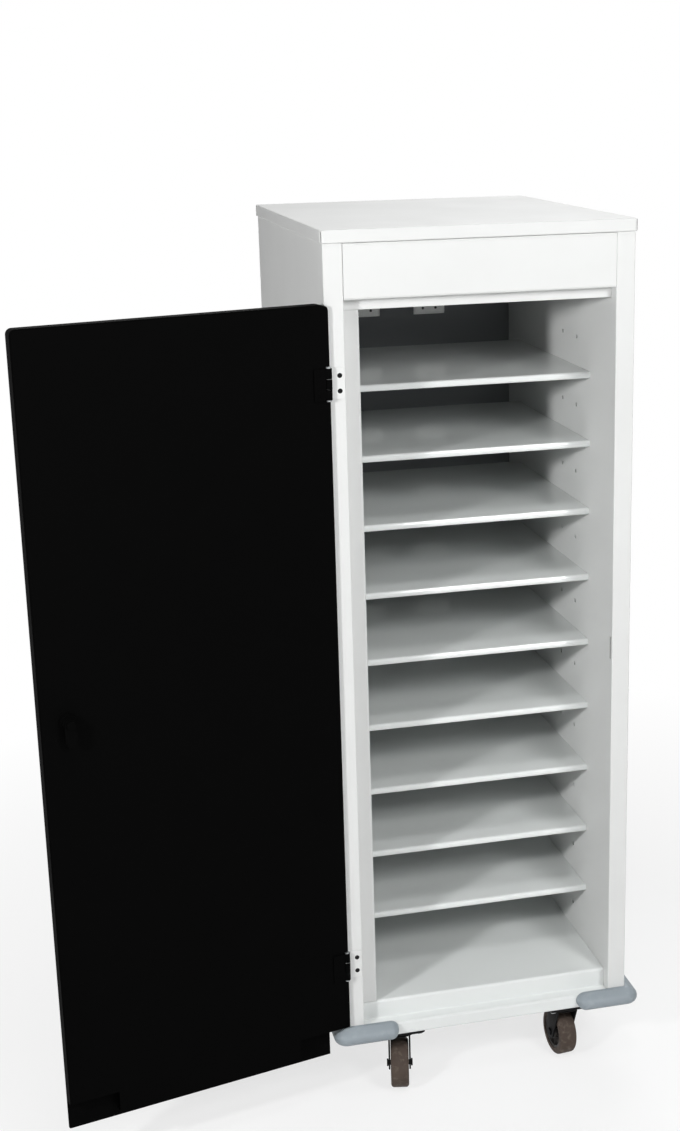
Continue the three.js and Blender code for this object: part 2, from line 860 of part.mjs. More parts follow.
// Hinge pin with a head above and below the knuckles.
function hingePin(z) {
  const end = hingeHeight / 2 + seat;
  const section = [
    [0, -end - hingePinHeadHeight],
    [hingePinHead, -end - hingePinHeadHeight],
    [hingePinHead, -end],
    [hingePinRadius, -end],
    [hingePinRadius, end],
    [hingePinHead, end],
    [hingePinHead, end + hingePinHeadHeight],
    [0, end + hingePinHeadHeight],
  ];
  return turned(section, knuckleSides).translate(0, 0, z);
}

// Lock housing about the lock axis: a raised escutcheon, a barrel through the door and a nut inside.
function lockHousing() {
  const outside = doorOuter - seat;
  const nutStart = doorInner + seat;
  const nutEnd = nutStart + lockNutThickness;
  const end = camInner - seat;
  const hexagon = 6;
  const barrel = rod("y", lockBarrel, outside - sheet, end, lockSides);
  const escutcheon = rod("y", escutcheonRadius, outside - escutcheonThickness, outside, lockSides);
  const nut = rod("y", lockNut, nutStart, nutEnd, hexagon);
  const bore = rod("y", boreFor(lockSpindle, lockSides), outside - cut, end + cut, lockSides);
  return shaped(barrel, { plus: [escutcheon, nut], minus: [bore] });
}

// Lock lever about the lock axis: a wing handle, its spindle and the screw that holds the cam.
function lockLever() {
  const neckStart = doorOuter - seat - escutcheonThickness - seat;
  const leverStart = neckStart - leverNeck - leverThickness;
  const spindleEnd = camInner - seat;
  const camEnd = camInner + camThickness + seat;
  const neckRadius = lockSpindle + 2 * seat;
  const neck = rod("y", neckRadius, neckStart - leverNeck - sheet, neckStart, lockSides);
  const spindle = rod("y", lockSpindle, neckStart - sheet, spindleEnd, lockSides);
  const screw = rod("y", lockScrew, spindleEnd - sheet, camEnd + sheet, lockSides);
  const head = rod("y", lockScrewHead, camEnd, camEnd + lockScrewHeadHeight, lockSides);
  const half = leverLength / 2;
  const wing = new THREE.Shape();
  const tip = leverWidth / 2 - 2 * sheet;
  const hub = leverWidth / 2 + sheet;
  wing.moveTo(-tip, -half + tip);
  wing.absarc(0, -half + tip, tip, Math.PI, 2 * Math.PI);
  wing.absarc(0, 0, hub, -0.25 * Math.PI, 0.25 * Math.PI);
  wing.absarc(0, half - tip, tip, 0, Math.PI);
  wing.absarc(0, 0, hub, 0.75 * Math.PI, 1.25 * Math.PI);
  wing.closePath();
  const handle = alongY(wing, leverStart, leverStart + leverThickness);
  return shaped(handle, { plus: [neck, spindle, screw, head] });
}

// Lock cam about the lock axis: a flat bar hanging down from its screw when the lock is open.
function lockCam() {
  const shape = new THREE.Shape();
  const half = camWidth / 2;
  shape.absarc(0, 0, half, 0, Math.PI);
  shape.lineTo(-half, -camLength + half);
  shape.lineTo(-half / 2, -camLength);
  shape.lineTo(half / 2, -camLength);
  shape.lineTo(half, -camLength + half);
  shape.closePath();
  const plate = alongY(shape, camInner, camInner + camThickness);
  const hole = rod("y", lockScrew + seat, camInner - cut, camInner + cut, lockSides);
  return shaped(plate, { minus: [hole] });
}

// Corner bumper for a corner at the origin with the cabinet towards +X and +Y: an L-shaped skirt
// that flares outwards towards its foot and is rounded at both ends.
function bumper() {
  const quarter = Math.PI / 2;
  const ring = (out) => {
    const points = [];
    for (let k = 0; k <= bumperSteps; k += 1) {
      const turn = (quarter * k) / bumperSteps;
      points.push([-out * Math.sin(turn), -out * Math.cos(turn)]);
    }
    const far = (k) => {
      const turn = (quarter * k) / bumperSteps;
      const along = bumperLeg - bumperRound * (1 - Math.sin(turn));
      return [along, seat + (out - seat) * Math.cos(turn)];
    };
    const ends = Array.from({ length: bumperSteps + 1 }, (_, k) => far(k));
    const frontEnd = ends.toReversed().map(([along, off]) => [along, -off]);
    const sideEnd = ends.map(([along, off]) => [-off, along]);
    return [[-seat, -seat], ...frontEnd, ...points, ...sideEnd].toReversed();
  };
  const outs = [bumperFlare - bumperEdge, bumperFlare, bumperFlare, bumperTop + bumperEdge, bumperTop];
  const heights = [0, bumperEdge, 2 * bumperEdge, bumperHeight - bumperEdge, bumperHeight];
  return loft(
    outs.map(ring),
    heights.map((height) => bumperBottom + height),
  );
}

// Caster top plate about the swivel axis: bolt plate, bearing cup and riveted king pin in one piece.
function casterTop() {
  const half = casterPlate / 2;
  const top = bodyBottom - seat;
  const plateBottom = top - casterPlateThickness;
  const bearingBottom = plateBottom - bearingHeight;
  const plan = roundedRectangle(-half, half, -half, half, casterPlateCorner);
  [-1, 1].forEach((a) => {
    [-1, 1].forEach((b) => {
      const hole = new THREE.Path();
      hole.absarc((a * casterBoltSpacing) / 2, (b * casterBoltSpacing) / 2, casterBolt, 0, 2 * Math.PI);
      plan.holes.push(hole);
    });
  });
  const plate = raised(plan, casterPlateThickness, bendSteps).translate(0, 0, plateBottom);
  const crownBottom = bearingBottom - seat - forkCrownHeight;
  const headTop = crownBottom - seat;
  const core = turned(
    [
      [0, headTop - kingPinHeadHeight],
      [kingPinHead - sheet, headTop - kingPinHeadHeight],
      [kingPinHead, headTop - sheet],
      [kingPinHead, headTop],
      [kingPin, headTop],
      [kingPin, bearingBottom],
      [bearingRadius - sheet, bearingBottom],
      [bearingRadius, bearingBottom + sheet],
      [bearingRadius, plateBottom + sheet],
      [0, plateBottom + sheet],
    ],
    casterSides,
  );
  return shaped(plate, { plus: [core] });
}

// Fork about the swivel axis, with the wheel trailing towards -Y: a dished crown and two swept legs.
function casterFork() {
  const crownTop = bodyBottom - seat - casterPlateThickness - bearingHeight - seat;
  const crownBottom = crownTop - forkCrownHeight;
  const inner = hubWidth / 2 + forkClearance;
  const outer = inner + forkThickness;
  const crown = turned(
    [
      [0, crownBottom],
      [forkHeelLength, crownBottom],
      [forkCrownRadius, crownTop - sheet],
      [forkCrownRadius, crownTop],
      [0, crownTop],
    ],
    casterSides,
  );
  const toe = casterTrail + forkEye;
  const leg = new THREE.Shape();
  leg.moveTo(forkHeelLength, crownBottom);
  leg.lineTo(forkHeelLength, crownTop - sheet);
  leg.lineTo(-toe + 2 * bend, crownTop - sheet);
  leg.lineTo(-toe, crownBottom - forkEye);
  leg.absarc(-casterTrail, wheelRadius, forkEye, Math.PI, 2 * Math.PI);
  leg.closePath();
  const legs = [-1, 1].map((side) => {
    const from = side > 0 ? inner : -outer;
    return alongX(leg, from, from + forkThickness);
  });
  const bridgeBottom = crownTop - sheet - forkThickness;
  const bridge = block(-outer, outer, -toe + 2 * bend, forkHeelLength, bridgeBottom, crownTop - sheet);
  const eye = rod("x", axleRadius + seat, -outer - cut, outer + cut, casterSides, [-casterTrail, wheelRadius]);
  const bore = rod("z", boreFor(kingPin, casterSides), crownBottom - cut, crownTop + cut, casterSides);
  return shaped(crown, { plus: [...legs, bridge], minus: [eye, bore] });
}

// Axle bolt across the fork, with a hexagon head and a nut.
function casterAxle() {
  const end = hubWidth / 2 + forkClearance + forkThickness + seat;
  const hexagon = 6;
  const place = [-casterTrail, wheelRadius];
  const shaft = rod("x", axleRadius, -end - sheet, end + sheet, casterSides, place);
  const heads = [-1, 1].map((side) => {
    const from = side > 0 ? end : -end - axleHeadHeight;
    return rod("x", axleHead, from, from + axleHeadHeight, hexagon, place);
  });
  return shaped(shaft, { plus: heads });
}

// A wheel's section turned about its axle, which lies along X.
function onAxle(section) {
  const wheel = turned(section, wheelSides);
  return wheel.rotateY(Math.PI / 2).translate(0, -casterTrail, wheelRadius);
}

// Tyre: a flat tread with bevelled shoulders on a straight seat.
function tyre() {
  const seatRadius = wheelRadius - tyreThickness;
  const half = tyreWidth / 2;
  return onAxle([
    [seatRadius, -half],
    [wheelRadius - tyreShoulder, -half],
    [wheelRadius, -treadWidth / 2],
    [wheelRadius, treadWidth / 2],
    [wheelRadius - tyreShoulder, half],
    [seatRadius, half],
    [seatRadius, -half],
  ]);
}

// Hub: a rim, a thinner web and a boss that turns on the axle.
function hub() {
  const rim = wheelRadius - tyreThickness - seat;
  const half = hubWidth / 2;
  const bore = boreFor(axleRadius, wheelSides);
  return onAxle([
    [bore, -half],
    [hubBoss, -half],
    [hubBoss + sheet, -hubWeb / 2],
    [rim - hubRim, -hubWeb / 2],
    [rim, -half + sheet],
    [rim, half - sheet],
    [rim - hubRim, hubWeb / 2],
    [hubBoss + sheet, hubWeb / 2],
    [hubBoss, half],
    [bore, half],
    [bore, -half],
  ]);
}

function addCabinet(group) {
  addPiece(group, "left_side_panel", sidePanel(-1), "white");
  addPiece(group, "right_side_panel", sidePanel(1), "white");
  addPiece(group, "back_panel", backPanel(), "white");
  addPiece(group, "rear_liner", rearLiner(), "charcoal");
  addPiece(group, "floor_tray", floorTray(), "white");
  addPiece(group, "base_plate", basePlate(), "white");
  addPiece(group, "ceiling_panel", ceilingPanel(), "white");
  addPiece(group, "lid", lid(), "white");
  addPiece(group, "header_fascia", headerFascia(), "white");
  addPiece(group, "top_rail", topRail(), "white");
  addPiece(group, "hinge_post", hingePost(), "white");
  for (let number = 1; number <= shelfCount; number += 1) {
    addPiece(group, `shelf_${number}`, shelf(number), "white");
  }
}

function addPower(group) {
  addPiece(group, "power_strip_left", powerStrip(-outletColumn), "outlet");
  addPiece(group, "power_strip_right", powerStrip(outletColumn), "outlet");
  addPiece(group, "power_unit", powerUnit(), "charcoal");
  addPiece(group, "mains_entry", mainsEntry(), "black");
  const pivot = new THREE.Group();
  pivot.position.set(entryX + rockerOffset, depth + seat + entryFlange - rockerDepth / 2, entryZ);
  pivot.rotation.x = THREE.MathUtils.degToRad(-rockerTilt);
  addPiece(pivot, "power_switch", rocker(), "fork");
  group.add(pivot);
}

function addBumpers(group) {
  const corners = [
    ["front_left", -halfWidth, 0, 0],
    ["front_right", halfWidth, 0, 1],
    ["rear_right", halfWidth, depth, 2],
    ["rear_left", -halfWidth, depth, 3],
  ];
  corners.forEach(([name, x, y, quarterTurns]) => {
    const corner = new THREE.Group();
    corner.position.set(x, y, 0);
    corner.rotation.z = (quarterTurns * Math.PI) / 2;
    addPiece(corner, `bumper_${name}`, bumper(), "bumper");
    group.add(corner);
  });
}

function addHingesAndDoor(group) {
  const frameSide = new THREE.Group();
  frameSide.position.set(hingeX, -hingeOffset, 0);
  const door = new THREE.Group();
  door.position.copy(frameSide.position);
  door.rotation.z = THREE.MathUtils.degToRad(-doorOpenAngle);
  Object.entries({ upper: hingeUpper, lower: hingeLower }).forEach(([name, z]) => {
    addPiece(frameSide, `hinge_${name}_frame_leaf`, frameLeaf(z), "white");
    addPiece(frameSide, `hinge_${name}_pin`, hingePin(z), "zinc");
    addPiece(door, `hinge_${name}_door_leaf`, doorLeaf(z), "black");
  });
  addPiece(door, "door_skin", doorSkin(), "black");
  addPiece(door, "door_liner", doorLiner(), "black");
  const lock = new THREE.Group();
  lock.position.set(lockU, 0, lockHeight);
  addPiece(lock, "lock_housing", lockHousing(), "fork");
  addPiece(lock, "lock_lever", lockLever(), "fork");
  addPiece(lock, "lock_cam", lockCam(), "fork");
  door.add(lock);
  group.add(frameSide, door);
}

function addCasters(group) {
  Object.entries(casterHeadings).forEach(([name, heading]) => {
    const side = name.endsWith("left") ? -1 : 1;
    const y = name.startsWith("front") ? casterEndInset : depth - casterEndInset;
    const mount = new THREE.Group();
    mount.position.set(side * (halfWidth - casterSideInset), y, 0);
    addPiece(mount, `caster_${name}_top`, casterTop(), "fork");
    const swivel = new THREE.Group();
    swivel.rotation.z = THREE.MathUtils.degToRad(heading);
    addPiece(swivel, `caster_${name}_fork`, casterFork(), "fork");
    addPiece(swivel, `caster_${name}_axle`, casterAxle(), "zinc");
    addPiece(swivel, `caster_${name}_hub`, hub(), "hub");
    addPiece(swivel, `caster_${name}_tyre`, tyre(), "tyre");
    mount.add(swivel);
    group.add(mount);
  });
}

const cart = new THREE.Group();
cart.name = "laptop_charging_cart";
const cabinet = new THREE.Group();
cabinet.position.y = -depth / 2;
addCabinet(cabinet);
addPower(cabinet);
addBumpers(cabinet);
addHingesAndDoor(cabinet);
addCasters(cabinet);
cart.add(cabinet);

export default cart;
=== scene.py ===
"""Finishes, fittings and a plain studio for a laptop charging cart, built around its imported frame."""

import json
from functools import partial

import bmesh
import bpy
import numpy as np
from mathutils import Matrix, Vector


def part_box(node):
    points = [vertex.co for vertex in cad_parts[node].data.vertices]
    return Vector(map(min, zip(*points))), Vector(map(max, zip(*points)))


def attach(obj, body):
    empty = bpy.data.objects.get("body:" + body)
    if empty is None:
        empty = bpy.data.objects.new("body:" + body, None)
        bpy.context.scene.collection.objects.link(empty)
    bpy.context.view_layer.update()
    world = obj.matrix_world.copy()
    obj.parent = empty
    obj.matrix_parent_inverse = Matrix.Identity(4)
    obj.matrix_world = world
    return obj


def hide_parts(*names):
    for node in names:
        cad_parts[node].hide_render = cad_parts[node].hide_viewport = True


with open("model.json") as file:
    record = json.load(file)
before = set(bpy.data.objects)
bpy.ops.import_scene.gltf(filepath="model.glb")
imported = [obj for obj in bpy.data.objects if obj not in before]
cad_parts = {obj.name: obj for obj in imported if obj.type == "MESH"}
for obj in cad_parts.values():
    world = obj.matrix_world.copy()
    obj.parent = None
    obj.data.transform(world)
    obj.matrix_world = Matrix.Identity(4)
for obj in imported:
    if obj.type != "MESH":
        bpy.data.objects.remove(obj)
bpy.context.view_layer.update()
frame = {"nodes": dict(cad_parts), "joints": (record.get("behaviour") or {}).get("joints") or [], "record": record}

bl_info = {
    "name": "Laptop Charging Cart",
    "version": (1, 0, 0),
    "blender": (4, 5, 0),
    "location": "View3D > Sidebar > Cart",
    "description": "Finishes, fittings and studio for a laptop charging cart",
    "category": "Object",
}

MM = 0.001
CORNERS = ("front_left", "front_right", "rear_left", "rear_right")
HINGES = ("upper", "lower")
SHELVES = range(1, 10)
LOCK_PIECES = ("lock_housing", "lock_cam", "lock_lever")
BOTH_SIDES = (-1, 1)
UP = np.array([0.0, 0.0, 1.0])
BACKWARD = np.array([0.0, 1.0, 0.0])
FORWARD = -BACKWARD
RIGHT = np.array([1.0, 0.0, 0.0])
QUARTER = np.pi / 2

# Sizes of the solids that the fittings meet
SHEET = 1.5 * MM
SEAT = 0.3 * MM
HINGE_LEAF = 1.6 * MM
DOOR_FACE = 0.6 * MM
WHEEL_HALF = 14.0 * MM
WHEEL_SEAT = 10.0 * MM
FORK_GAP = 0.8 * MM
CASTER_PLATE = 3.0 * MM
STRIP_END = 26.0 * MM
OUTLET_WIDTH = 53.0 * MM
OUTLET_HEIGHT = 24.0 * MM
INLET_OFFSET = 12.0 * MM
INLET_DEPTH = 16.0 * MM

# Screws: rows of the domed head as shares of its radius and height, rows of its hexagon socket as shares of
# the socket's radius and the head's height, and where the screws stand
HEXAGON = 6
DOME_SHARES = ((0.0, 0.0), (1.0, 0.0), (1.0, 0.35), (0.92, 0.75), (0.72, 1.0))
SOCKET_RADIUS = 0.52
SOCKET_SHARES = ((1.0, 1.0), (0.96, 0.25), (0.0, 0.2))
SHELF_SCREW_DROP = 8.0 * MM
SHELF_SCREW_SETBACKS = (64.0 * MM, 128.0 * MM, 300.0 * MM)
BACK_SCREW_INSET = 11.0 * MM
BACK_SCREW_ABOVE_FOOT = 55.0 * MM
BACK_SCREW_BELOW_TOP = 20.0 * MM
BACK_SCREW_ROWS = 6
BARREL_WALL = 0.1 * MM

# Outlets: the rim's margin, its shoulder as a share of its height, its draft and rounding, the floor of the well,
# and in millimetres the section and places of the black discs that paint the shade of the contact holes
RIM_MARGIN = 0.4 * MM
RIM_SHOULDER = 0.6
RIM_DRAFT = 0.3 * MM
RIM_POWER = 0.22
WELL_LIFT = 0.1 * MM
HOLE_SHADE_SECTION = ((0.0, 0.05), (2.2, 0.05), (2.2, 0.4), (1.8, 0.5), (0.0, 0.5))
HOLE_SHADE_PLACES = ((-11.0, 0.0, -2.0), (0.0, 0.0, 3.5), (11.0, 0.0, -2.0))

# Pins of the mains inlet, with their places in millimetres
PIN_REACH = 12.5 * MM
PIN_HALF = 2.5 * MM
PIN_CHAMFER = 1.0 * MM
PIN_THICKNESS = 2.0 * MM
PIN_EDGE = 0.4 * MM
PIN_PLACES = ((-7.0, 0.0, -1.4), (0.0, 0.0, 1.6), (7.0, 0.0, -1.4))

# Hubs: the web, its ribs, and how far inside the rim the web ends, bends and meets the lip
HUB_BORE = 4.2 * MM
HUB_BOSS = 11.0 * MM
HUB_WEB = 4.5 * MM
HUB_RIB = 7.0 * MM
HUB_RIBS = 9
RIB_WIDTH = 0.22
WEB_END = 5.0 * MM
WEB_BEND = 4.0 * MM
HUB_LIP = 3.4 * MM

# Forks: rows of the crown's edge as millimetres inside its radius and below its top, rows of its cup as
# radius and millimetres below that top, and the outline of a leg
CROWN_ROWS = ((6.0, 0.0), (1.4, 0.3), (0.0, 1.4), (0.8, 2.6))
CUP_ROWS = ((19.0, 6.2), (16.0, 7.0), (0.0, 7.0))
FORK_WALL = 2.5 * MM
FORK_EDGE = 0.9 * MM
FORK_EYE = 11.0 * MM
FORK_HEEL = -17.0 * MM
FORK_BEND = 5.0 * MM
FORK_BROW = 8.0 * MM
FORK_CHEEK = 18.0 * MM
HEEL_DROP = 9.0 * MM

# Caster bolts, with shares of the head's radius and height, and the bearing ring's section in millimetres
WASHER_SHARE = 1.2
WASHER_HEIGHT = 0.8 * MM
BOLT_SHOULDER = 0.85
BOLT_CHAMFER = 0.88
BEARING_OUTSIDE = ((23.0, 0.0), (25.2, 0.0), (25.4, 1.2), (24.4, 1.6), (25.0, 2.4), (24.2, 3.6))
BEARING_INSIDE = ((22.0, 3.6), (22.0, 0.0), (23.0, 0.0))

# Bumpers: radii of the section's two arcs, and the angle in degrees above which an edge stays crisp
BUMPER_FOOT_ARC = 11.0 * MM
BUMPER_BROW_ARC = 5.0 * MM
BUMPER_CRISP = 50.0

# Lock: the collar's section in millimetres, and the black plate that paints the shade of the key slot
COLLAR_SECTION = ((3.2, 0.0), (5.6, 0.0), (5.6, 0.5), (5.0, 0.9), (3.8, 0.9), (3.2, 0.4), (3.2, 0.0))
SLOT_HALF_WIDTH = 0.5 * MM
SLOT_HALF_HEIGHT = 2.4 * MM
SLOT_THICKNESS = 0.4 * MM
SLOT_EDGE = 0.1 * MM
SLOT_LIFT = 0.25 * MM

# How finely the round forms are divided
SCREW_SIDES = 18
HINGE_SIDES = 24
RIM_SIDES = 48
HALF_STEP = 0.5
HOLE_SHADE_SIDES = 16
WHEEL_SIDES = 72
SHOULDER_STEPS = 8
CROWN_SIDES = 48
EYE_STEPS = 13
BOLT_SIDES = 36
BEARING_SIDES = 64
COLLAR_SIDES = 40
EDGE_STEPS = 4
FOOT_STEPS = 9
BROW_STEPS = 7
END_STEPS = 10
LEG_STEPS = 12
CORNER_STEPS = 14
FLOOR_SIDES = 96

# Meshes: points closer than this are one, edges sharper than these degrees stay crisp, and a direction that
# rises more than this counts as upright
WELD = 0.001 * MM
CRISP = 35.0
UPRIGHT = 0.9

# The sRGB curve: a straight toe, and a power above it
TOE_END = 0.04045
TOE_SLOPE = 12.92
CURVE_LIFT = 0.055
CURVE_POWER = 2.4

# Patterns: detail of the noises, the values between which they count, and the finish of worn places
SOFT_DETAIL = 2.0
DRAWN_DETAIL = 3.0
CLOUD_DETAIL = 4.0
FINE_DETAIL = 6.0
NOISE_LOW, NOISE_HIGH = 0.3, 0.7
SCUFF_START, SCUFF_FULL = 0.52, 0.74
RUB_FULL, RUB_START = 0.75, 0.98
RUB_SAMPLES = 4
WORN_DULLING = 0.3
COAT_SMOOTHER, COAT_ROUGHER = 0.02, 0.03
PLASTIC_ROUGHER = 0.1

# Studio: the floor's rings and the fade of its shadow in metres, what the lights aim at, and the camera's
# sensor and clipping
FLOOR_RINGS = np.array([0.0, 1.0, 3.0, 14.0])
FLOOR_ROUGHNESS = 0.9
FADE_START, FADE_END = 0.6, 1.6
WHITE = (1.0, 1.0, 1.0, 1.0)
AIM = Vector((0.0, 0.0, 0.7))
SENSOR_WIDTH = 36.0
CLIP_START, CLIP_END = 0.05, 60.0

# Sockets of a node that mixes two colours
MIX_SHARE, MIX_FIRST, MIX_SECOND, MIX_RESULT = 0, 6, 7, 2


def linear(hex_colour):
    """An sRGB hex colour as linear red, green and blue."""
    srgb = np.array([int(hex_colour[i : i + 2], 16) for i in (1, 3, 5)]) / 255
    toe = srgb / TOE_SLOPE
    curve = ((srgb + CURVE_LIFT) / (1 + CURVE_LIFT)) ** CURVE_POWER
    return tuple(np.where(srgb <= TOE_END, toe, curve).tolist())


def colour_property(label, meaning, hex_colour):
    """A colour setting whose default is a hex value."""
    return bpy.props.FloatVectorProperty(
        name=label,
        description=meaning,
        subtype="COLOR",
        size=3,
        min=0.0,
        max=1.0,
        default=linear(hex_colour),
    )


def length_property(label, meaning, millimetres):
    """A length setting whose default is given in millimetres."""
    return bpy.props.FloatProperty(
        name=label,
        description=meaning,
        subtype="DISTANCE",
        unit="LENGTH",
        default=millimetres * MM,
        min=0.0,
    )


def place_property(label, meaning, metres):
    """A place setting in metres."""
    return bpy.props.FloatVectorProperty(
        name=label,
        description=meaning,
        subtype="TRANSLATION",
        unit="LENGTH",
        size=3,
        default=metres,
    )


def angle_property(label, meaning, degrees):
    """An angle setting whose default is given in degrees."""
    return bpy.props.FloatProperty(
        name=label,
        description=meaning,
        subtype="ANGLE",
        default=np.radians(degrees),
    )


def power_property(label, meaning, watts):
    """A lamp power setting in watts."""
    return bpy.props.FloatProperty(name=label, description=meaning, unit="POWER", default=watts, min=0.0)


class CartFinishes(bpy.types.PropertyGroup):
    """Colours of the cart's materials."""

    white: colour_property("White coat", "Powder coat of the cabinet", "#DADBDA")
    # The shelf coat is the cabinet's white paint made lighter: painted light that brightens the shelves and the
    # floor tray.
    shelf: colour_property("Shelf coat", "Gloss coat of the shelves and the floor tray", "#E2E5E4")
    black: colour_property("Black coat", "Powder coat of the door", "#040404")
    wall: colour_property("Back wall", "Coat of the inner back wall", "#65686A")
    outlet: colour_property("Outlets", "Moulded outlets and their housing", "#F6F7F6")
    steel: colour_property("Black steel", "Coated steel of the casters and the hinge screws", "#121213")
    # The black plastic is real on the mains entry and the switch; on the outlets' contact holes and the key slot
    # it is painted shade.
    plastic: colour_property("Black plastic", "Mains entry, switch, contacts and key slot", "#161617")
    bumper: colour_property("Bumpers", "Moulded corner bumpers", "#8E979D")
    tyre: colour_property("Tyres", "Solid caster tyres", "#463B34")
    hub: colour_property("Hubs", "Moulded wheel hubs", "#1F1C1B")
    zinc: colour_property("Zinc", "Plated fasteners and pins", "#B9BBBD")
    soil: colour_property("Soil", "Floor dust and rubbed edges", "#8C8478")
    knock: colour_property("Knocks", "Scuffs on black plastic and on the bumpers", "#C9CCCF")


class CartFittings(bpy.types.PropertyGroup):
    """Sizes of the small fittings."""

    screw_radius: length_property("Screw head", "Radius of a panel screw head", 3.6)
    screw_height: length_property("Screw height", "Height of a panel screw head", 1.6)
    hinge_screw_radius: length_property("Hinge screw", "Radius of a hinge screw head", 3.5)
    hinge_screw_height: length_property("Hinge screw height", "Height above the leaf", 0.3)
    hinge_screw_reach: length_property("Hinge screw reach", "From the hinge axis to the screws", 16.0)
    frame_screw_spread: length_property("Frame screws", "From a hinge's middle to its frame screws", 10.8)
    door_screw_spread: length_property("Door screws", "From a hinge's middle to its door screws", 14.0)
    barrel_radius: length_property("Hinge barrel", "Radius of the sleeve on a hinge's middle knuckle", 4.62)
    barrel_height: length_property("Barrel height", "Height of that sleeve", 14.2)
    bolt_radius: length_property("Caster bolt", "Radius of a caster bolt's head", 6.0)
    bolt_height: length_property("Bolt height", "Height of a caster bolt's head", 3.6)
    bolt_spread: length_property("Bolt spread", "From the swivel to the bolts, along X and along Y", 26.0)
    outlet_rim: length_property("Outlet rim", "Width of the rim round an outlet", 2.4)
    outlet_proud: length_property("Rim height", "Height of the rim above the outlet", 0.9)
    tread_half: length_property("Tread", "Half the width of a tyre's flat tread", 9.5)
    tyre_shoulder: length_property("Shoulder", "Height of a tyre's rounded shoulder", 5.0)
    crown_radius: length_property("Crown", "Radius of a fork's crown", 29.0)
    bumper_flare: length_property("Bumper foot", "How far a bumper stands out at its foot", 20.0)
    bumper_crest: length_property("Bumper top", "How far a bumper stands out at its top", 9.0)
    bumper_leg: length_property("Bumper leg", "Length of a bumper along each wall", 81.0)
    bumper_end: length_property("Bumper end", "Length of a bumper's rounded end", 14.0)


class CartStudio(bpy.types.PropertyGroup):
    """Camera and light of the studio."""

    camera_place: place_property("Camera place", "Where the camera stands", (-0.675, -2.584, 1.520))
    camera_pitch: angle_property("Pitch", "Camera tilt above the horizon", -15.33)
    camera_yaw: angle_property("Yaw", "Camera turn from +Y towards -X", -14.01)
    camera_roll: angle_property("Roll", "Camera turn about its own line of sight", 1.04)
    camera_lens: bpy.props.FloatProperty(
        name="Lens",
        description="Focal length on a 36 mm sensor",
        unit="CAMERA",
        default=55.05,
    )
    camera_shift: bpy.props.FloatVectorProperty(
        name="Shift",
        description="Lens shift across and up",
        size=2,
        default=(-0.070, -0.0111),
    )
    key_place: place_property("Key place", "Where the main light hangs", (-1.94, -1.57, 1.50))
    key_size: length_property("Key size", "Width of the main light", 200.0)
    key_power: power_property("Key", "Power of the main light", 32.0)
    fill_place: place_property("Fill place", "Where the fill light hangs", (0.9, -2.37, 2.05))
    fill_size: length_property("Fill size", "Width of the fill light", 800.0)
    fill_power: power_property("Fill", "Power of the fill light", 38.0)
    top_place: place_property("Top place", "Where the light above the cart hangs", (-0.2, -1.4, 3.6))
    top_size: length_property("Top size", "Width of the light above the cart", 800.0)
    top_power: power_property("Top", "Power of the light above the cart", 18.0)
    low_place: place_property("Low place", "Where the low light far in front stands", (0.3, -6.0, 0.9))
    low_size: length_property("Low size", "Width of the low light", 1600.0)
    low_power: power_property("Low", "Power of the low light", 28.0)
    back_place: place_property("Back place", "Where the light behind the cart hangs", (1.2, 2.6, 3.3))
    back_size: length_property("Back size", "Width of the light behind the cart", 2600.0)
    back_power: power_property("Back", "Power of the light behind the cart", 70.0)
    ambient: bpy.props.FloatProperty(
        name="Ambient",
        description="Strength of the even light",
        default=0.02,
        min=0.0,
    )
    floor: colour_property("Floor", "Colour of the floor", "#F4F4F4")
    floor_white: bpy.props.FloatProperty(
        name="White floor",
        description="How much of the floor near the cart shows as plain white",
        subtype="FACTOR",
        default=0.72,
        min=0.0,
        max=1.0,
    )


def add_node(tree, kind, inputs=None, output=0, **settings):
    """Adds a node with its settings, gives its sockets values or links, and returns one output."""
    node = tree.nodes.new(f"ShaderNode{kind}")
    for name, value in settings.items():
        setattr(node, name, value)
    for socket, value in (inputs or {}).items():
        if isinstance(value, bpy.types.NodeSocket):
            tree.links.new(value, node.inputs[socket])
        else:
            node.inputs[socket].default_value = value
    return node.outputs[output]


def rgba(colour, brightness=1.0):
    """A colour with its brightness changed, with full alpha."""
    return (*[channel * brightness for channel in colour], 1.0)


def per_metre(millimetres):
    """The scale of a pattern whose features are about that size."""
    return 1.0 / (millimetres * MM)


def new_material(name):
    """An empty node material with its tree, its shader and the object coordinates."""
    material = bpy.data.materials.new(name)
    material.use_nodes = True
    tree = material.node_tree
    return material, tree, tree.nodes["Principled BSDF"], add_node(tree, "TexCoord", output="Object")


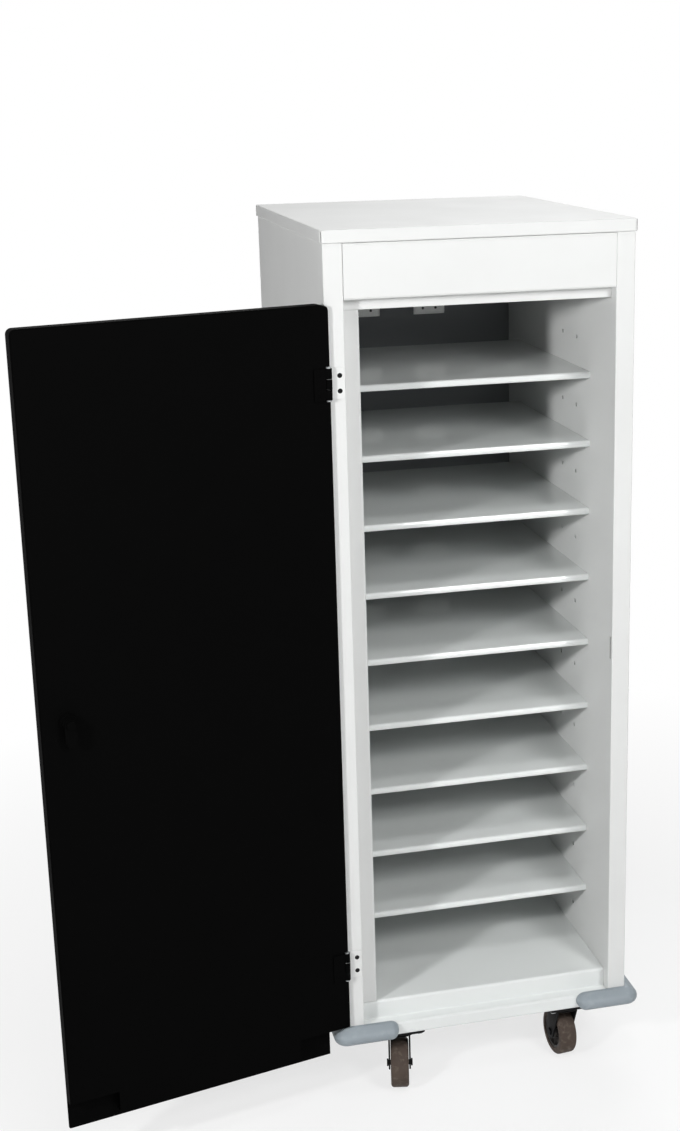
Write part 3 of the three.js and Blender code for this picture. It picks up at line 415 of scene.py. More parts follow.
def surface(name, colour, second, layers):
    """A worn, coloured surface: one colour that varies slowly, a second one where it is worn, and a grain.

    colour and second are linear, and layers hold the patterns' sizes in millimetres and their strengths.
    Wear is the sum of scuffs from a noise and of rubbed edges, which are where the normal of a slightly
    rounded copy of the shape leaves the true normal.
    """
    material, tree, shader, place = new_material(name)
    broad_scale = per_metre(layers["shade"])
    broad = add_node(tree, "TexNoise", {"Vector": place, "Scale": broad_scale, "Detail": SOFT_DETAIL})
    shade = add_node(tree, "MapRange", {"Value": broad, "From Min": NOISE_LOW, "From Max": NOISE_HIGH})
    tones = {MIX_FIRST: rgba(colour, layers["dark"]), MIX_SECOND: rgba(colour, layers["light"])}
    body = add_node(tree, "Mix", {MIX_SHARE: shade, **tones}, MIX_RESULT, data_type="RGBA")
    fine_scale = per_metre(layers["scuff"])
    fine = add_node(tree, "TexNoise", {"Vector": place, "Scale": fine_scale, "Detail": FINE_DETAIL})
    scuffing = {"From Min": SCUFF_START, "From Max": SCUFF_FULL, "To Max": layers["scuffed"]}
    scuffs = add_node(tree, "MapRange", {"Value": fine, **scuffing})
    rounded = add_node(tree, "Bevel", {"Radius": layers["edge"] * MM}, samples=RUB_SAMPLES)
    true_normal = add_node(tree, "NewGeometry", output="True Normal")
    along = add_node(tree, "VectorMath", {0: rounded, 1: true_normal}, "Value", operation="DOT_PRODUCT")
    rubbing = {"From Min": RUB_FULL, "From Max": RUB_START, "To Min": layers["rubbed"], "To Max": 0.0}
    rub = add_node(tree, "MapRange", {"Value": along, **rubbing})
    patchy = add_node(tree, "Math", {0: rub, 1: fine}, operation="MULTIPLY")
    wear = add_node(tree, "Math", {0: scuffs, 1: patchy}, operation="ADD", use_clamp=True)
    coats = {MIX_FIRST: body, MIX_SECOND: rgba(second)}
    worn = add_node(tree, "Mix", {MIX_SHARE: wear, **coats}, MIX_RESULT, data_type="RGBA")
    cloud_scale = per_metre(layers["gloss"])
    cloud = add_node(tree, "TexNoise", {"Vector": place, "Scale": cloud_scale, "Detail": CLOUD_DETAIL})
    glossing = {"To Min": layers["smoothest"], "To Max": layers["roughest"]}
    gloss_range = {"From Min": NOISE_LOW, "From Max": NOISE_HIGH, **glossing}
    gloss = add_node(tree, "MapRange", {"Value": cloud, **gloss_range})
    dulled = {0: wear, 1: WORN_DULLING, 2: gloss}
    dull = add_node(tree, "Math", dulled, operation="MULTIPLY_ADD", use_clamp=True)
    grain_scale = per_metre(layers["grain"])
    grain = add_node(tree, "TexNoise", {"Vector": place, "Scale": grain_scale, "Detail": SOFT_DETAIL})
    depth = {"Distance": layers["depth"] * MM, "Strength": layers["strength"]}
    relief = add_node(tree, "Bump", {"Height": grain, **depth})
    tree.links.new(worn, shader.inputs["Base Color"])
    tree.links.new(dull, shader.inputs["Roughness"])
    tree.links.new(relief, shader.inputs["Normal"])
    shader.inputs["Specular IOR Level"].default_value = layers["specular"]
    return material


def powder_coat(name, colour, second, roughness, scuffed, rubbed, specular):
    """Powder coat on sheet steel, sprayed and baked.

    It is even in colour, has a gloss that handling changes slowly, and a fine orange peel, which is drawn
    coarser than the real half millimetre so that it shows. Folded edges may be rubbed a little.
    """
    layers = {
        "shade": 180.0,
        "dark": 0.965,
        "light": 1.0,
        "scuff": 24.0,
        "scuffed": scuffed,
        "edge": 1.2,
        "rubbed": rubbed,
        "gloss": 65.0,
        "smoothest": roughness - COAT_SMOOTHER,
        "roughest": roughness + COAT_ROUGHER,
        "grain": 1.6,
        "depth": 0.06,
        "strength": 0.2,
        "specular": specular,
    }
    return surface(name, colour, second, layers)


def moulded_plastic(name, colour, second, roughness, scuffed, specular):
    """Moulded polypropylene, polycarbonate or ABS.

    It is coloured through, has a fine spark-eroded grain, and shows scuffs where it was knocked.
    """
    layers = {
        "shade": 60.0,
        "dark": 0.94,
        "light": 1.03,
        "scuff": 11.0,
        "scuffed": scuffed,
        "edge": 1.0,
        "rubbed": scuffed,
        "gloss": 30.0,
        "smoothest": roughness,
        "roughest": roughness + PLASTIC_ROUGHER,
        "grain": 1.1,
        "depth": 0.08,
        "strength": 0.45,
        "specular": specular,
    }
    return surface(name, colour, second, layers)


def solid_rubber(name, colour, second):
    """Moulded thermoplastic rubber: matt and mottled, with dust rubbed in and a grain as of fine sand."""
    layers = {
        "shade": 25.0,
        "dark": 0.85,
        "light": 1.1,
        "scuff": 7.0,
        "scuffed": 0.3,
        "edge": 1.5,
        "rubbed": 0.3,
        "gloss": 12.0,
        "smoothest": 0.62,
        "roughest": 0.85,
        "grain": 1.5,
        "depth": 0.1,
        "strength": 0.4,
        "specular": 0.3,
    }
    return surface(name, colour, second, layers)


def plated_steel(name, colour):
    """Zinc-plated steel: a bright metal with a cloudy spangle a few millimetres across."""
    spangle_size = 2.5
    spangle_low, spangle_high = 0.1, 0.7
    darkest = 0.82
    smoothest, roughest = 0.28, 0.46
    drawn_size = 1.2
    drawn_depth = 0.03 * MM
    drawn_strength = 0.3
    material, tree, shader, place = new_material(name)
    spangles = {"Vector": place, "Scale": per_metre(spangle_size)}
    spangle = add_node(tree, "TexVoronoi", spangles, feature="SMOOTH_F1")
    shading = {"From Min": spangle_low, "From Max": spangle_high}
    shade = add_node(tree, "MapRange", {"Value": spangle, **shading})
    tones = {MIX_FIRST: rgba(colour, darkest), MIX_SECOND: rgba(colour)}
    tint = add_node(tree, "Mix", {MIX_SHARE: shade, **tones}, MIX_RESULT, data_type="RGBA")
    gloss = add_node(tree, "MapRange", {"Value": shade, "To Min": smoothest, "To Max": roughest})
    drawn_scale = per_metre(drawn_size)
    drawn = add_node(tree, "TexNoise", {"Vector": place, "Scale": drawn_scale, "Detail": DRAWN_DETAIL})
    relief = add_node(tree, "Bump", {"Height": drawn, "Distance": drawn_depth, "Strength": drawn_strength})
    tree.links.new(tint, shader.inputs["Base Color"])
    tree.links.new(gloss, shader.inputs["Roughness"])
    tree.links.new(relief, shader.inputs["Normal"])
    shader.inputs["Metallic"].default_value = 1.0
    return material


def finishes():
    """The cart's materials by finish, made once. All but the shelves' gloss coat are the record's slots."""
    colours = bpy.context.scene.cart_finishes
    soil = colours.soil
    knock = colours.knock
    makers = {
        # Satin white that takes soft shadows and shows hardly any soil.
        "white_paint": partial(
            powder_coat, "white_powder_coat", colours.white, soil,
            roughness=0.55, scuffed=0.01, rubbed=0.1, specular=0.25,
        ),
        # White under more gloss, so the shelves mirror the bay above them softly. Its white is lighter than the
        # cabinet's white of the same paint, which paints extra light on the shelves and the floor tray.
        "shelf_gloss_painted_light": partial(
            powder_coat, "lighter_white_gloss_painted_light", colours.shelf, soil,
            roughness=0.08, scuffed=0.0, rubbed=0.06, specular=0.6,
        ),
        # A deep matt black that swallows almost all light.
        "black_paint": partial(
            powder_coat, "black_matt_powder_coat", colours.black, soil,
            roughness=0.7, scuffed=0.0, rubbed=0.0, specular=0.02,
        ),
        # Charcoal that stays dark behind the shelves, so the pale outlets stand out.
        "dark_paint": partial(
            powder_coat, "charcoal_powder_coat", colours.wall, soil,
            roughness=0.55, scuffed=0.02, rubbed=0.06, specular=0.3,
        ),
        # Black dipped steel with a dull sheen and a little dust.
        "black_steel": partial(
            powder_coat, "black_dipped_steel", colours.steel, soil,
            roughness=0.6, scuffed=0.02, rubbed=0.0, specular=0.1,
        ),
        # Bright and slightly cloudy, so small fasteners glint.
        "zinc_steel": partial(plated_steel, "zinc_plated_steel", colours.zinc),
        # Pale and slightly glossy, with a fine grain.
        "outlet_plastic": partial(
            moulded_plastic, "pale_polycarbonate", colours.outlet, soil,
            roughness=0.42, scuffed=0.04, specular=0.5,
        ),
        # Black with a soft grain that catches grey highlights. On the outlets' contact holes and the key slot its
        # black is painted shade.
        "black_plastic": partial(
            moulded_plastic, "black_abs_and_painted_hole_shade", colours.plastic, knock,
            roughness=0.45, scuffed=0.03, specular=0.5,
        ),
        # Blue grey with a waxy sheen and a few pale knocks.
        "bumper_plastic": partial(
            moulded_plastic, "blue_grey_polypropylene", colours.bumper, knock,
            roughness=0.48, scuffed=0.1, specular=0.4,
        ),
        # Brown grey and quite matt, greyer where dust is rubbed in.
        "caster_tyre": partial(solid_rubber, "brown_grey_tyre_rubber", colours.tyre, soil),
        # Dark and waxy, with dust in its grain.
        "hub_plastic": partial(
            moulded_plastic, "dark_polypropylene", colours.hub, soil,
            roughness=0.5, scuffed=0.12, specular=0.4,
        ),
    }
    made = {}
    for finish, make in makers.items():
        name = make.args[0]
        made[finish] = bpy.data.materials.get(name) or make()
    return made


def grid_faces(number):
    """Four-sided faces between neighbouring rows and columns of numbered points. Columns close round."""
    along = np.roll(number, -1, axis=-1)
    lower = (number[..., :-1, :], along[..., :-1, :])
    upper = (along[..., 1:, :], number[..., 1:, :])
    return np.stack([*lower, *upper], axis=-1).reshape(-1, 4)


def new_piece(name, parts, body, slot, crisp_degrees=CRISP):
    """An object from grids of points: each part is an array (copies, rows, columns, 3) that closes round.

    Points that coincide at poles and seams are welded, and faces are turned outwards. Edges sharper than
    the given angle stay crisp.
    """
    points = []
    quads = []
    offset = 0
    for part in parts:
        copies, rows, columns = part.shape[:3]
        number = offset + np.arange(copies * rows * columns).reshape(copies, rows, columns)
        quads.append(grid_faces(number))
        points.append(part.reshape(-1, 3))
        offset += number.size
    mesh = bpy.data.meshes.new(name)
    mesh.from_pydata(np.concatenate(points), [], np.concatenate(quads))
    cleaned = bmesh.new()
    cleaned.from_mesh(mesh)
    bmesh.ops.remove_doubles(cleaned, verts=cleaned.verts, dist=WELD)
    bmesh.ops.recalc_face_normals(cleaned, faces=cleaned.faces)
    cleaned.to_mesh(mesh)
    cleaned.free()
    mesh.shade_smooth()
    mesh.set_sharp_from_angle(angle=np.radians(crisp_degrees))
    mesh.materials.append(finishes()[slot])
    piece = bpy.data.objects.new(name, mesh)
    bpy.context.scene.collection.objects.link(piece)
    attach(piece, body)
    return piece


def angles(count, start=0.0):
    """Evenly spaced angles round a full turn, begun that share of a step late."""
    return (np.arange(count) + start) * 2 * np.pi / count


def across(direction):
    """Two unit vectors at right angles to each direction, as arrays."""
    helper = np.where(np.abs(direction[..., 2:3]) > UPRIGHT, RIGHT, UP)
    first = np.cross(helper, direction)
    first /= np.linalg.norm(first, axis=-1, keepdims=True)
    return first, np.cross(direction, first)


def turned(section, sides, places, directions):
    """Turned bodies, P(s, a) = place + h(s, a) d + r(s, a) (cos a e1 + sin a e2), one for each place.

    d is the direction there, e1 and e2 are at right angles to it, and the section is a list of
    (radius, height), each a number or an array over the angles.
    """
    places = np.atleast_2d(places)
    directions = np.broadcast_to(np.asarray(directions, float), places.shape)
    first, second = across(directions)
    angle = angles(sides)
    radius, height = (
        np.stack([np.broadcast_to(np.asarray(row[i], float), sides) for row in section]) for i in (0, 1)
    )
    ring = np.cos(angle)[:, None] * first[:, None, :] + np.sin(angle)[:, None] * second[:, None, :]
    rise = height[None, :, :, None] * directions[:, None, None, :]
    return places[:, None, None, :] + rise + radius[None, :, :, None] * ring[:, None, :, :]


def in_metres(section):
    """A section whose rows are given in millimetres."""
    return [(radius * MM, height * MM) for radius, height in section]


def polygon_radius(sides, steps, corner):
    """The radius of a regular polygon with that corner radius, over evenly spaced angles."""
    sector = np.pi / sides
    return corner * np.cos(sector) / np.cos((angles(steps) + sector) % (2 * sector) - sector)


def rounded_plate(outline, thickness, edge, place, e1, e2, normal):
    """A flat plate with rounded edges: rings of its outline, drawn in to its middle by quarter circles.

    P(s, t) = place + e1 u(t) k(s) + e2 v(t) k(s) + normal h(s), where k is nothing at both faces' middles.
    """
    outline = np.asarray(outline, float)
    middle = outline.mean(axis=0)
    arm = outline - middle
    reach = np.linalg.norm(arm, axis=1)
    turn = np.linspace(QUARTER, 0.0, EDGE_STEPS)
    inset = edge * (1 - np.cos(turn))
    low = -thickness / 2 + edge * (1 - np.sin(turn))
    height = np.concatenate([[-thickness / 2], low, -low[::-1], [thickness / 2]])
    share = 1.0 - np.concatenate([inset, inset[::-1]])[:, None] / reach
    share = np.concatenate([np.zeros((1, len(reach))), share, np.zeros((1, len(reach)))])
    flat = middle + arm[None] * share[:, :, None]
    points = place + flat[..., :1] * e1 + flat[..., 1:] * e2 + height[:, None, None] * normal
    return points[None]


def joint(name):
    """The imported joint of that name."""
    return next(j for j in frame["joints"] if j["name"] == name)


def door_axes():
    """A point on the hinge axis and the directions along the open door and out of its inner face."""
    hinge = joint("door_hinge")
    opening = np.radians(hinge["range_deg"][1])
    along = np.array([np.cos(opening), -np.sin(opening), 0.0])
    inward = np.array([np.sin(opening), np.cos(opening), 0.0])
    return np.array(hinge["pos_m"]), along, inward


def screw_section(radius, height, sides):
    """A low domed head with a hexagon socket: section rows from the rim over the dome into the socket."""
    socket = polygon_radius(HEXAGON, sides, radius * SOCKET_RADIUS)
    dome = [(radius * wide, height * high) for wide, high in DOME_SHARES]
    return dome + [(socket * wide, height * high) for wide, high in SOCKET_SHARES]


class CART_OT_coat_solids(bpy.types.Operator):
    """Give every solid the finish of its material slot, and the shelves and the floor tray more gloss and a
    lighter white that paints light on them
    """

    bl_idname = "cart.coat_solids"
    bl_label = "Coat the Solids"

    def execute(self, context):
        materials = finishes()
        finish = {part["node"]: part["material_slot"] for part in frame["record"]["subparts"]}
        finish.update({f"shelf_{number}": "shelf_gloss_painted_light" for number in SHELVES})
        finish.update({f"caster_{corner}_axle": "black_steel" for corner in CORNERS})
        finish["floor_tray"] = "shelf_gloss_painted_light"
        finish.update({name: "black_paint" for name in LOCK_PIECES})
        for name, solid in frame["nodes"].items():
            solid.data.materials.clear()
            solid.data.materials.append(materials[finish[name]])
        return {"FINISHED"}


class CART_OT_fit_screws(bpy.types.Operator):
    """Put the screws in the hinges, the shelves and the back panel, and the sleeves on the hinges"""

    bl_idname = "cart.fit_screws"
    bl_label = "Fit the Screws"

    def execute(self, context):
        sizes = context.scene.cart_fittings
        self.fit_frame_leaves(sizes)
        self.fit_barrels(sizes)
        self.fit_door_leaves(sizes)
        self.fit_shelves(sizes)
        self.fit_back(sizes)
        return {"FINISHED"}

    def screw_heights(self, spread):
        """The heights of each hinge's two screws, that far below and above its middle."""
        heights = []
        for name in HINGES:
            low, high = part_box(f"hinge_{name}_frame_leaf")
            middle = (low.z + high.z) / 2
            heights += [middle + side * spread for side in BOTH_SIDES]
        return heights

    def fit_frame_leaves(self, sizes):
        """Two flush screws in each hinge leaf of the frame."""
        section = screw_section(sizes.hinge_screw_radius, sizes.hinge_screw_height, HINGE_SIDES)
        x = door_axes()[0][0] + sizes.hinge_screw_reach
        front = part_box("header_fascia")[0].y - SEAT - HINGE_LEAF
        places = [[x, front, z] for z in self.screw_heights(sizes.frame_screw_spread)]
        screws = turned(section, HINGE_SIDES, places, FORWARD)
        new_piece("hinge_screws_frame", [screws], "cabinet", "black_steel")

    def fit_door_leaves(self, sizes):
        """Two flush screws in each hinge leaf of the door, where the open door stands."""
        section = screw_section(sizes.hinge_screw_radius, sizes.hinge_screw_height, HINGE_SIDES)
        axis, along, inward = door_axes()
        x, y, _ = axis + along * sizes.hinge_screw_reach + inward * (DOOR_FACE + SEAT + HINGE_LEAF)
        places = [[x, y, z] for z in self.screw_heights(sizes.door_screw_spread)]
        screws = turned(section, HINGE_SIDES, places, inward)
        new_piece("hinge_screws_door", [screws], "door", "black_paint")

    def fit_barrels(self, sizes):
        """A thin black sleeve round the middle knuckle of each hinge."""
        axis = door_axes()[0]
        outer = sizes.barrel_radius
        inner = outer - BARREL_WALL
        half = sizes.barrel_height / 2
        sleeve = [(inner, -half), (outer, -half), (outer, half), (inner, half), (inner, -half)]
        middles = []
        for name in HINGES:
            low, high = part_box(f"hinge_{name}_pin")
            middles.append([axis[0], axis[1], (low.z + high.z) / 2])
        barrels = turned(sleeve, HINGE_SIDES, middles, UP)
        new_piece("hinge_barrels", [barrels], "cabinet", "black_paint")

    def fit_shelves(self, sizes):
        """Screws through the shelf flanges into the side walls."""
        section = screw_section(sizes.screw_radius, sizes.screw_height, SCREW_SIDES)
        places = []
        directions = []
        for number in SHELVES:
            low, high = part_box(f"shelf_{number}")
            for setback in SHELF_SCREW_SETBACKS:
                for x, inwards in ((low.x + SHEET, 1), (high.x - SHEET, -1)):
                    places.append([x, low.y + setback, high.z - SHELF_SCREW_DROP])
                    directions.append(RIGHT * inwards)
        screws = turned(section, SCREW_SIDES, places, np.array(directions))
        new_piece("shelf_screws", [screws], "cabinet", "zinc_steel")

    def fit_back(self, sizes):
        """Screws down both edges of the back panel."""
        section = screw_section(sizes.screw_radius, sizes.screw_height, SCREW_SIDES)
        low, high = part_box("back_panel")
        lowest = low.z + BACK_SCREW_ABOVE_FOOT
        highest = high.z - BACK_SCREW_BELOW_TOP
        rows = np.linspace(lowest, highest, BACK_SCREW_ROWS)
        columns = (low.x + BACK_SCREW_INSET, high.x - BACK_SCREW_INSET)
        places = [[x, high.y, z] for z in rows for x in columns]
        screws = turned(section, SCREW_SIDES, places, BACKWARD)
        new_piece("back_screws", [screws], "cabinet", "zinc_steel")


class CART_OT_shape_outlets(bpy.types.Operator):
    """Shape the face of every outlet and the pins of the mains inlet"""

    bl_idname = "cart.shape_outlets"
    bl_label = "Shape the Outlets"

    def execute(self, context):
        sizes = context.scene.cart_fittings
        self.shape_faces(sizes)
        self.shape_inlet()
        return {"FINISHED"}

    def outlet_places(self):
        """The middle of every outlet's face, from the strips' boxes and the shelf spacing."""
        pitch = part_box("shelf_2")[1].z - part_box("shelf_1")[1].z
        places = []
        for name in ("power_strip_left", "power_strip_right"):
            low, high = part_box(name)
            first = low.z + STRIP_END
            middle = (low.x + high.x) / 2
            places += [[middle, low.y, first + bay * pitch] for bay in range(len(SHELVES) + 1)]
        return np.array(places)

    def ring(self, inset):
        """A rounded rectangle: the superellipse x = a |cos t|^p, z = b |sin t|^p."""
        angle = angles(RIM_SIDES, HALF_STEP)
        x_share = np.sign(np.cos(angle)) * np.abs(np.cos(angle)) ** RIM_POWER
        z_share = np.sign(np.sin(angle)) * np.abs(np.sin(angle)) ** RIM_POWER
        x = (OUTLET_WIDTH / 2 - inset) * x_share
        z = (OUTLET_HEIGHT / 2 - inset) * z_share
        return np.stack([x, np.zeros(RIM_SIDES), z], axis=-1)

    def shape_faces(self, sizes):
        """A rounded rim that falls into a shallow well, and in the well three black discs that paint the shade of
        the contact holes, which are not cut.
        """
        rim = sizes.outlet_rim
        proud = sizes.outlet_proud
        shoulder = proud * RIM_SHOULDER
        middle = OUTLET_HEIGHT / 2
        rows = [
            (middle, 0.0),
            (RIM_MARGIN, 0.0),
            (RIM_MARGIN, shoulder),
            (2 * RIM_MARGIN, proud),
            (rim - RIM_MARGIN, proud),
            (rim, shoulder),
            (rim + RIM_DRAFT, WELL_LIFT),
            (middle, WELL_LIFT),
        ]
        places = self.outlet_places()
        profile = np.stack([self.ring(inset) + FORWARD * lift for inset, lift in rows])
        rims = places[:, None, None, :] + profile[None]
        new_piece("outlet_rims", [rims], "cabinet", "outlet_plastic")
        # Black discs on the well: painted shade of the contact holes.
        spread = np.array(HOLE_SHADE_PLACES) * MM
        centres = (places[:, None, :] + spread[None]).reshape(-1, 3)
        contacts = turned(in_metres(HOLE_SHADE_SECTION), HOLE_SHADE_SIDES, centres, FORWARD)
        new_piece("outlet_hole_shades_painted", [contacts], "cabinet", "black_plastic")

    def shape_inlet(self):
        """Three flat pins with chamfered tips, standing in the mains inlet's recess."""
        low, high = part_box("mains_entry")
        neck = PIN_REACH - PIN_CHAMFER
        flat = PIN_HALF - PIN_CHAMFER
        tip = [[neck, -PIN_HALF], [PIN_REACH, -flat], [PIN_REACH, flat], [neck, PIN_HALF]]
        blade = [[0.0, -PIN_HALF], *tip, [0.0, PIN_HALF]]
        centre_x = (low.x + high.x) / 2 - INLET_OFFSET
        middle = np.array([centre_x, high.y - INLET_DEPTH, (low.z + high.z) / 2])
        pins = []
        for offset in np.array(PIN_PLACES) * MM:
            pin = rounded_plate(blade, PIN_THICKNESS, PIN_EDGE, middle + offset, BACKWARD, UP, RIGHT)
            pins.append(pin)
        new_piece("inlet_pins", pins, "cabinet", "zinc_steel")


class CART_OT_make_casters(bpy.types.Operator):
    """Make the round tyres, ribbed hubs, swept forks and bolts of the casters"""

    bl_idname = "cart.make_casters"
    bl_label = "Make the Casters"

    def execute(self, context):
        sizes = context.scene.cart_fittings
        for corner in CORNERS:
            self.make_tyre(corner, sizes)
            self.make_hub(corner)
            self.make_fork(corner, sizes)
        self.fit_bolts(sizes)
        return {"FINISHED"}

    def wheel_place(self, corner):
        """The wheel's middle and the direction of its axle."""
        spin = joint(f"wheel_{corner}_spin")
        return np.array(spin["pos_m"]), np.array(spin["axis"])

    def make_tyre(self, corner, sizes):
        """A flat tread whose shoulders are quarter ellipses, on a straight seat."""
        place, axle = self.wheel_place(corner)
        outer = place[2]
        seat = outer - WHEEL_SEAT
        turn = np.linspace(0.0, QUARTER, SHOULDER_STEPS)
        radius = outer - sizes.tyre_shoulder * (1 - np.sin(turn))
        height = sizes.tread_half + (WHEEL_HALF - sizes.tread_half) * np.cos(turn)
        upper = list(zip(radius, height))
        lower = [(r, -h) for r, h in upper[::-1]]
        section = [(seat, WHEEL_HALF), *upper, *lower, (seat, -WHEEL_HALF), (seat, WHEEL_HALF)]
        rubber = turned(section, WHEEL_SIDES, place, axle)
        tyre = new_piece(f"tyre_{corner}", [rubber], f"wheel_{corner}", "caster_tyre")
        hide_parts(f"caster_{corner}_tyre")

    def make_hub(self, corner):
        """A hub whose web has ribs, narrow peaks of h(a) = web + rib / (1 + (sin(n a / 2) / w)^2)."""
        place, axle = self.wheel_place(corner)
        peaks = np.sin(HUB_RIBS * angles(WHEEL_SIDES) / 2) / RIB_WIDTH
        web = HUB_WEB + HUB_RIB / (1 + peaks**2)
        rim = place[2] - WHEEL_SEAT - SEAT
        face = WHEEL_HALF - SHEET
        rings = [
            (HUB_BORE, WHEEL_HALF),
            (HUB_BOSS, WHEEL_HALF),
            (HUB_BOSS + SHEET / 2, WHEEL_HALF - SHEET / 2),
            (HUB_BOSS + SHEET, web),
            (rim - WEB_END, web),
            (rim - WEB_BEND, face - SHEET / 2),
            (rim - HUB_LIP, face),
            (rim, face),
        ]
        mirrored = [(radius, -np.asarray(height)) for radius, height in rings[::-1]]
        plastic = turned([*rings, *mirrored, rings[0]], WHEEL_SIDES, place, axle)
        hub = new_piece(f"hub_{corner}", [plastic], f"wheel_{corner}", "hub_plastic")
        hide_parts(f"caster_{corner}_hub")

    def leg_outline(self, trail, axle_height, top):
        """A leg's outline, along and up: a sloping front, a half circle round the axle and a heel."""
        toe = trail + FORK_EYE
        shoulder = top - SHEET
        turn = np.linspace(0.0, -np.pi, EYE_STEPS)
        eye = FORK_EYE * np.stack([np.cos(turn), np.sin(turn)], axis=-1)
        bottom = eye + [trail, axle_height]
        front = [
            [toe - FORK_BEND, shoulder],
            [toe - FORK_BEND / 3, shoulder - FORK_BROW],
            [toe, shoulder - FORK_CHEEK],
        ]
        rear = [
            [FORK_HEEL, top - HEEL_DROP],
            [FORK_HEEL, shoulder - FORK_BEND / 2],
            [FORK_HEEL + FORK_BEND / 2, shoulder],
        ]
        return np.concatenate([front, bottom, rear])

    def make_fork(self, corner, sizes):
        """A dished crown turned about the swivel axis, a bridge plate and two legs with rounded edges."""
        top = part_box(f"caster_{corner}_fork")[1].z
        swivel = np.array(joint(f"swivel_{corner}_turn")["pos_m"])
        wheel, axle = self.wheel_place(corner)
        trailing = (wheel - swivel) * (RIGHT + BACKWARD)
        trail = np.linalg.norm(trailing)
        trailing /= trail
        swivel[2] = 0.0
        edge_rows = [(sizes.crown_radius - inset * MM, top - drop * MM) for inset, drop in CROWN_ROWS]
        cup_rows = [(radius * MM, top - drop * MM) for radius, drop in CUP_ROWS]
        crown = turned([(0.0, top), *edge_rows, *cup_rows], CROWN_SIDES, swivel, UP)
        outline = self.leg_outline(trail, wheel[2], top)
        offset = WHEEL_HALF + FORK_GAP + FORK_WALL / 2
        legs = []
        for side in BOTH_SIDES:
            place = swivel + side * offset * axle
            legs.append(rounded_plate(outline, FORK_WALL, FORK_EDGE, place, trailing, UP, axle))
        half = offset + FORK_WALL / 2
        end = trail + FORK_EYE - FORK_BEND
        plate = [[FORK_HEEL, -half], [end, -half], [end, half], [FORK_HEEL, half]]
        level = swivel + UP * (top - SHEET - FORK_WALL / 2)
        down = np.cross(trailing, axle)
        bridge = rounded_plate(plate, FORK_WALL, FORK_EDGE, level, trailing, axle, down)
        fork = new_piece(f"fork_{corner}", [crown, *legs, bridge], f"swivel_{corner}", "black_steel")
        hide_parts(f"caster_{corner}_fork")

    def fit_bolts(self, sizes):
        """Hexagon bolt heads under the corners of each caster's plate, and a bearing ring round its cup."""
        hexagon = polygon_radius(HEXAGON, BOLT_SIDES, sizes.bolt_radius)
        washer = sizes.bolt_radius * WASHER_SHARE
        height = sizes.bolt_height
        section = [
            (0.0, 0.0),
            (washer, 0.0),
            (washer, WASHER_HEIGHT),
            (hexagon, WASHER_HEIGHT),
            (hexagon, height * BOLT_SHOULDER),
            (hexagon * BOLT_CHAMFER, height),
            (0.0, height),
        ]
        spread = sizes.bolt_spread
        places = []
        cups = []
        for corner in CORNERS:
            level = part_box(f"caster_{corner}_top")[1].z - CASTER_PLATE
            x, y, _ = joint(f"swivel_{corner}_turn")["pos_m"]
            places += [[x + a * spread, y + b * spread, level] for a in BOTH_SIDES for b in BOTH_SIDES]
            cups.append([x, y, level])
        bolts = turned(section, BOLT_SIDES, places, -UP)
        new_piece("caster_bolts", [bolts], "cabinet", "zinc_steel")
        rings = turned(in_metres(BEARING_OUTSIDE + BEARING_INSIDE), BEARING_SIDES, cups, -UP)
        new_piece("bearing_rings", [rings], "cabinet", "black_steel")


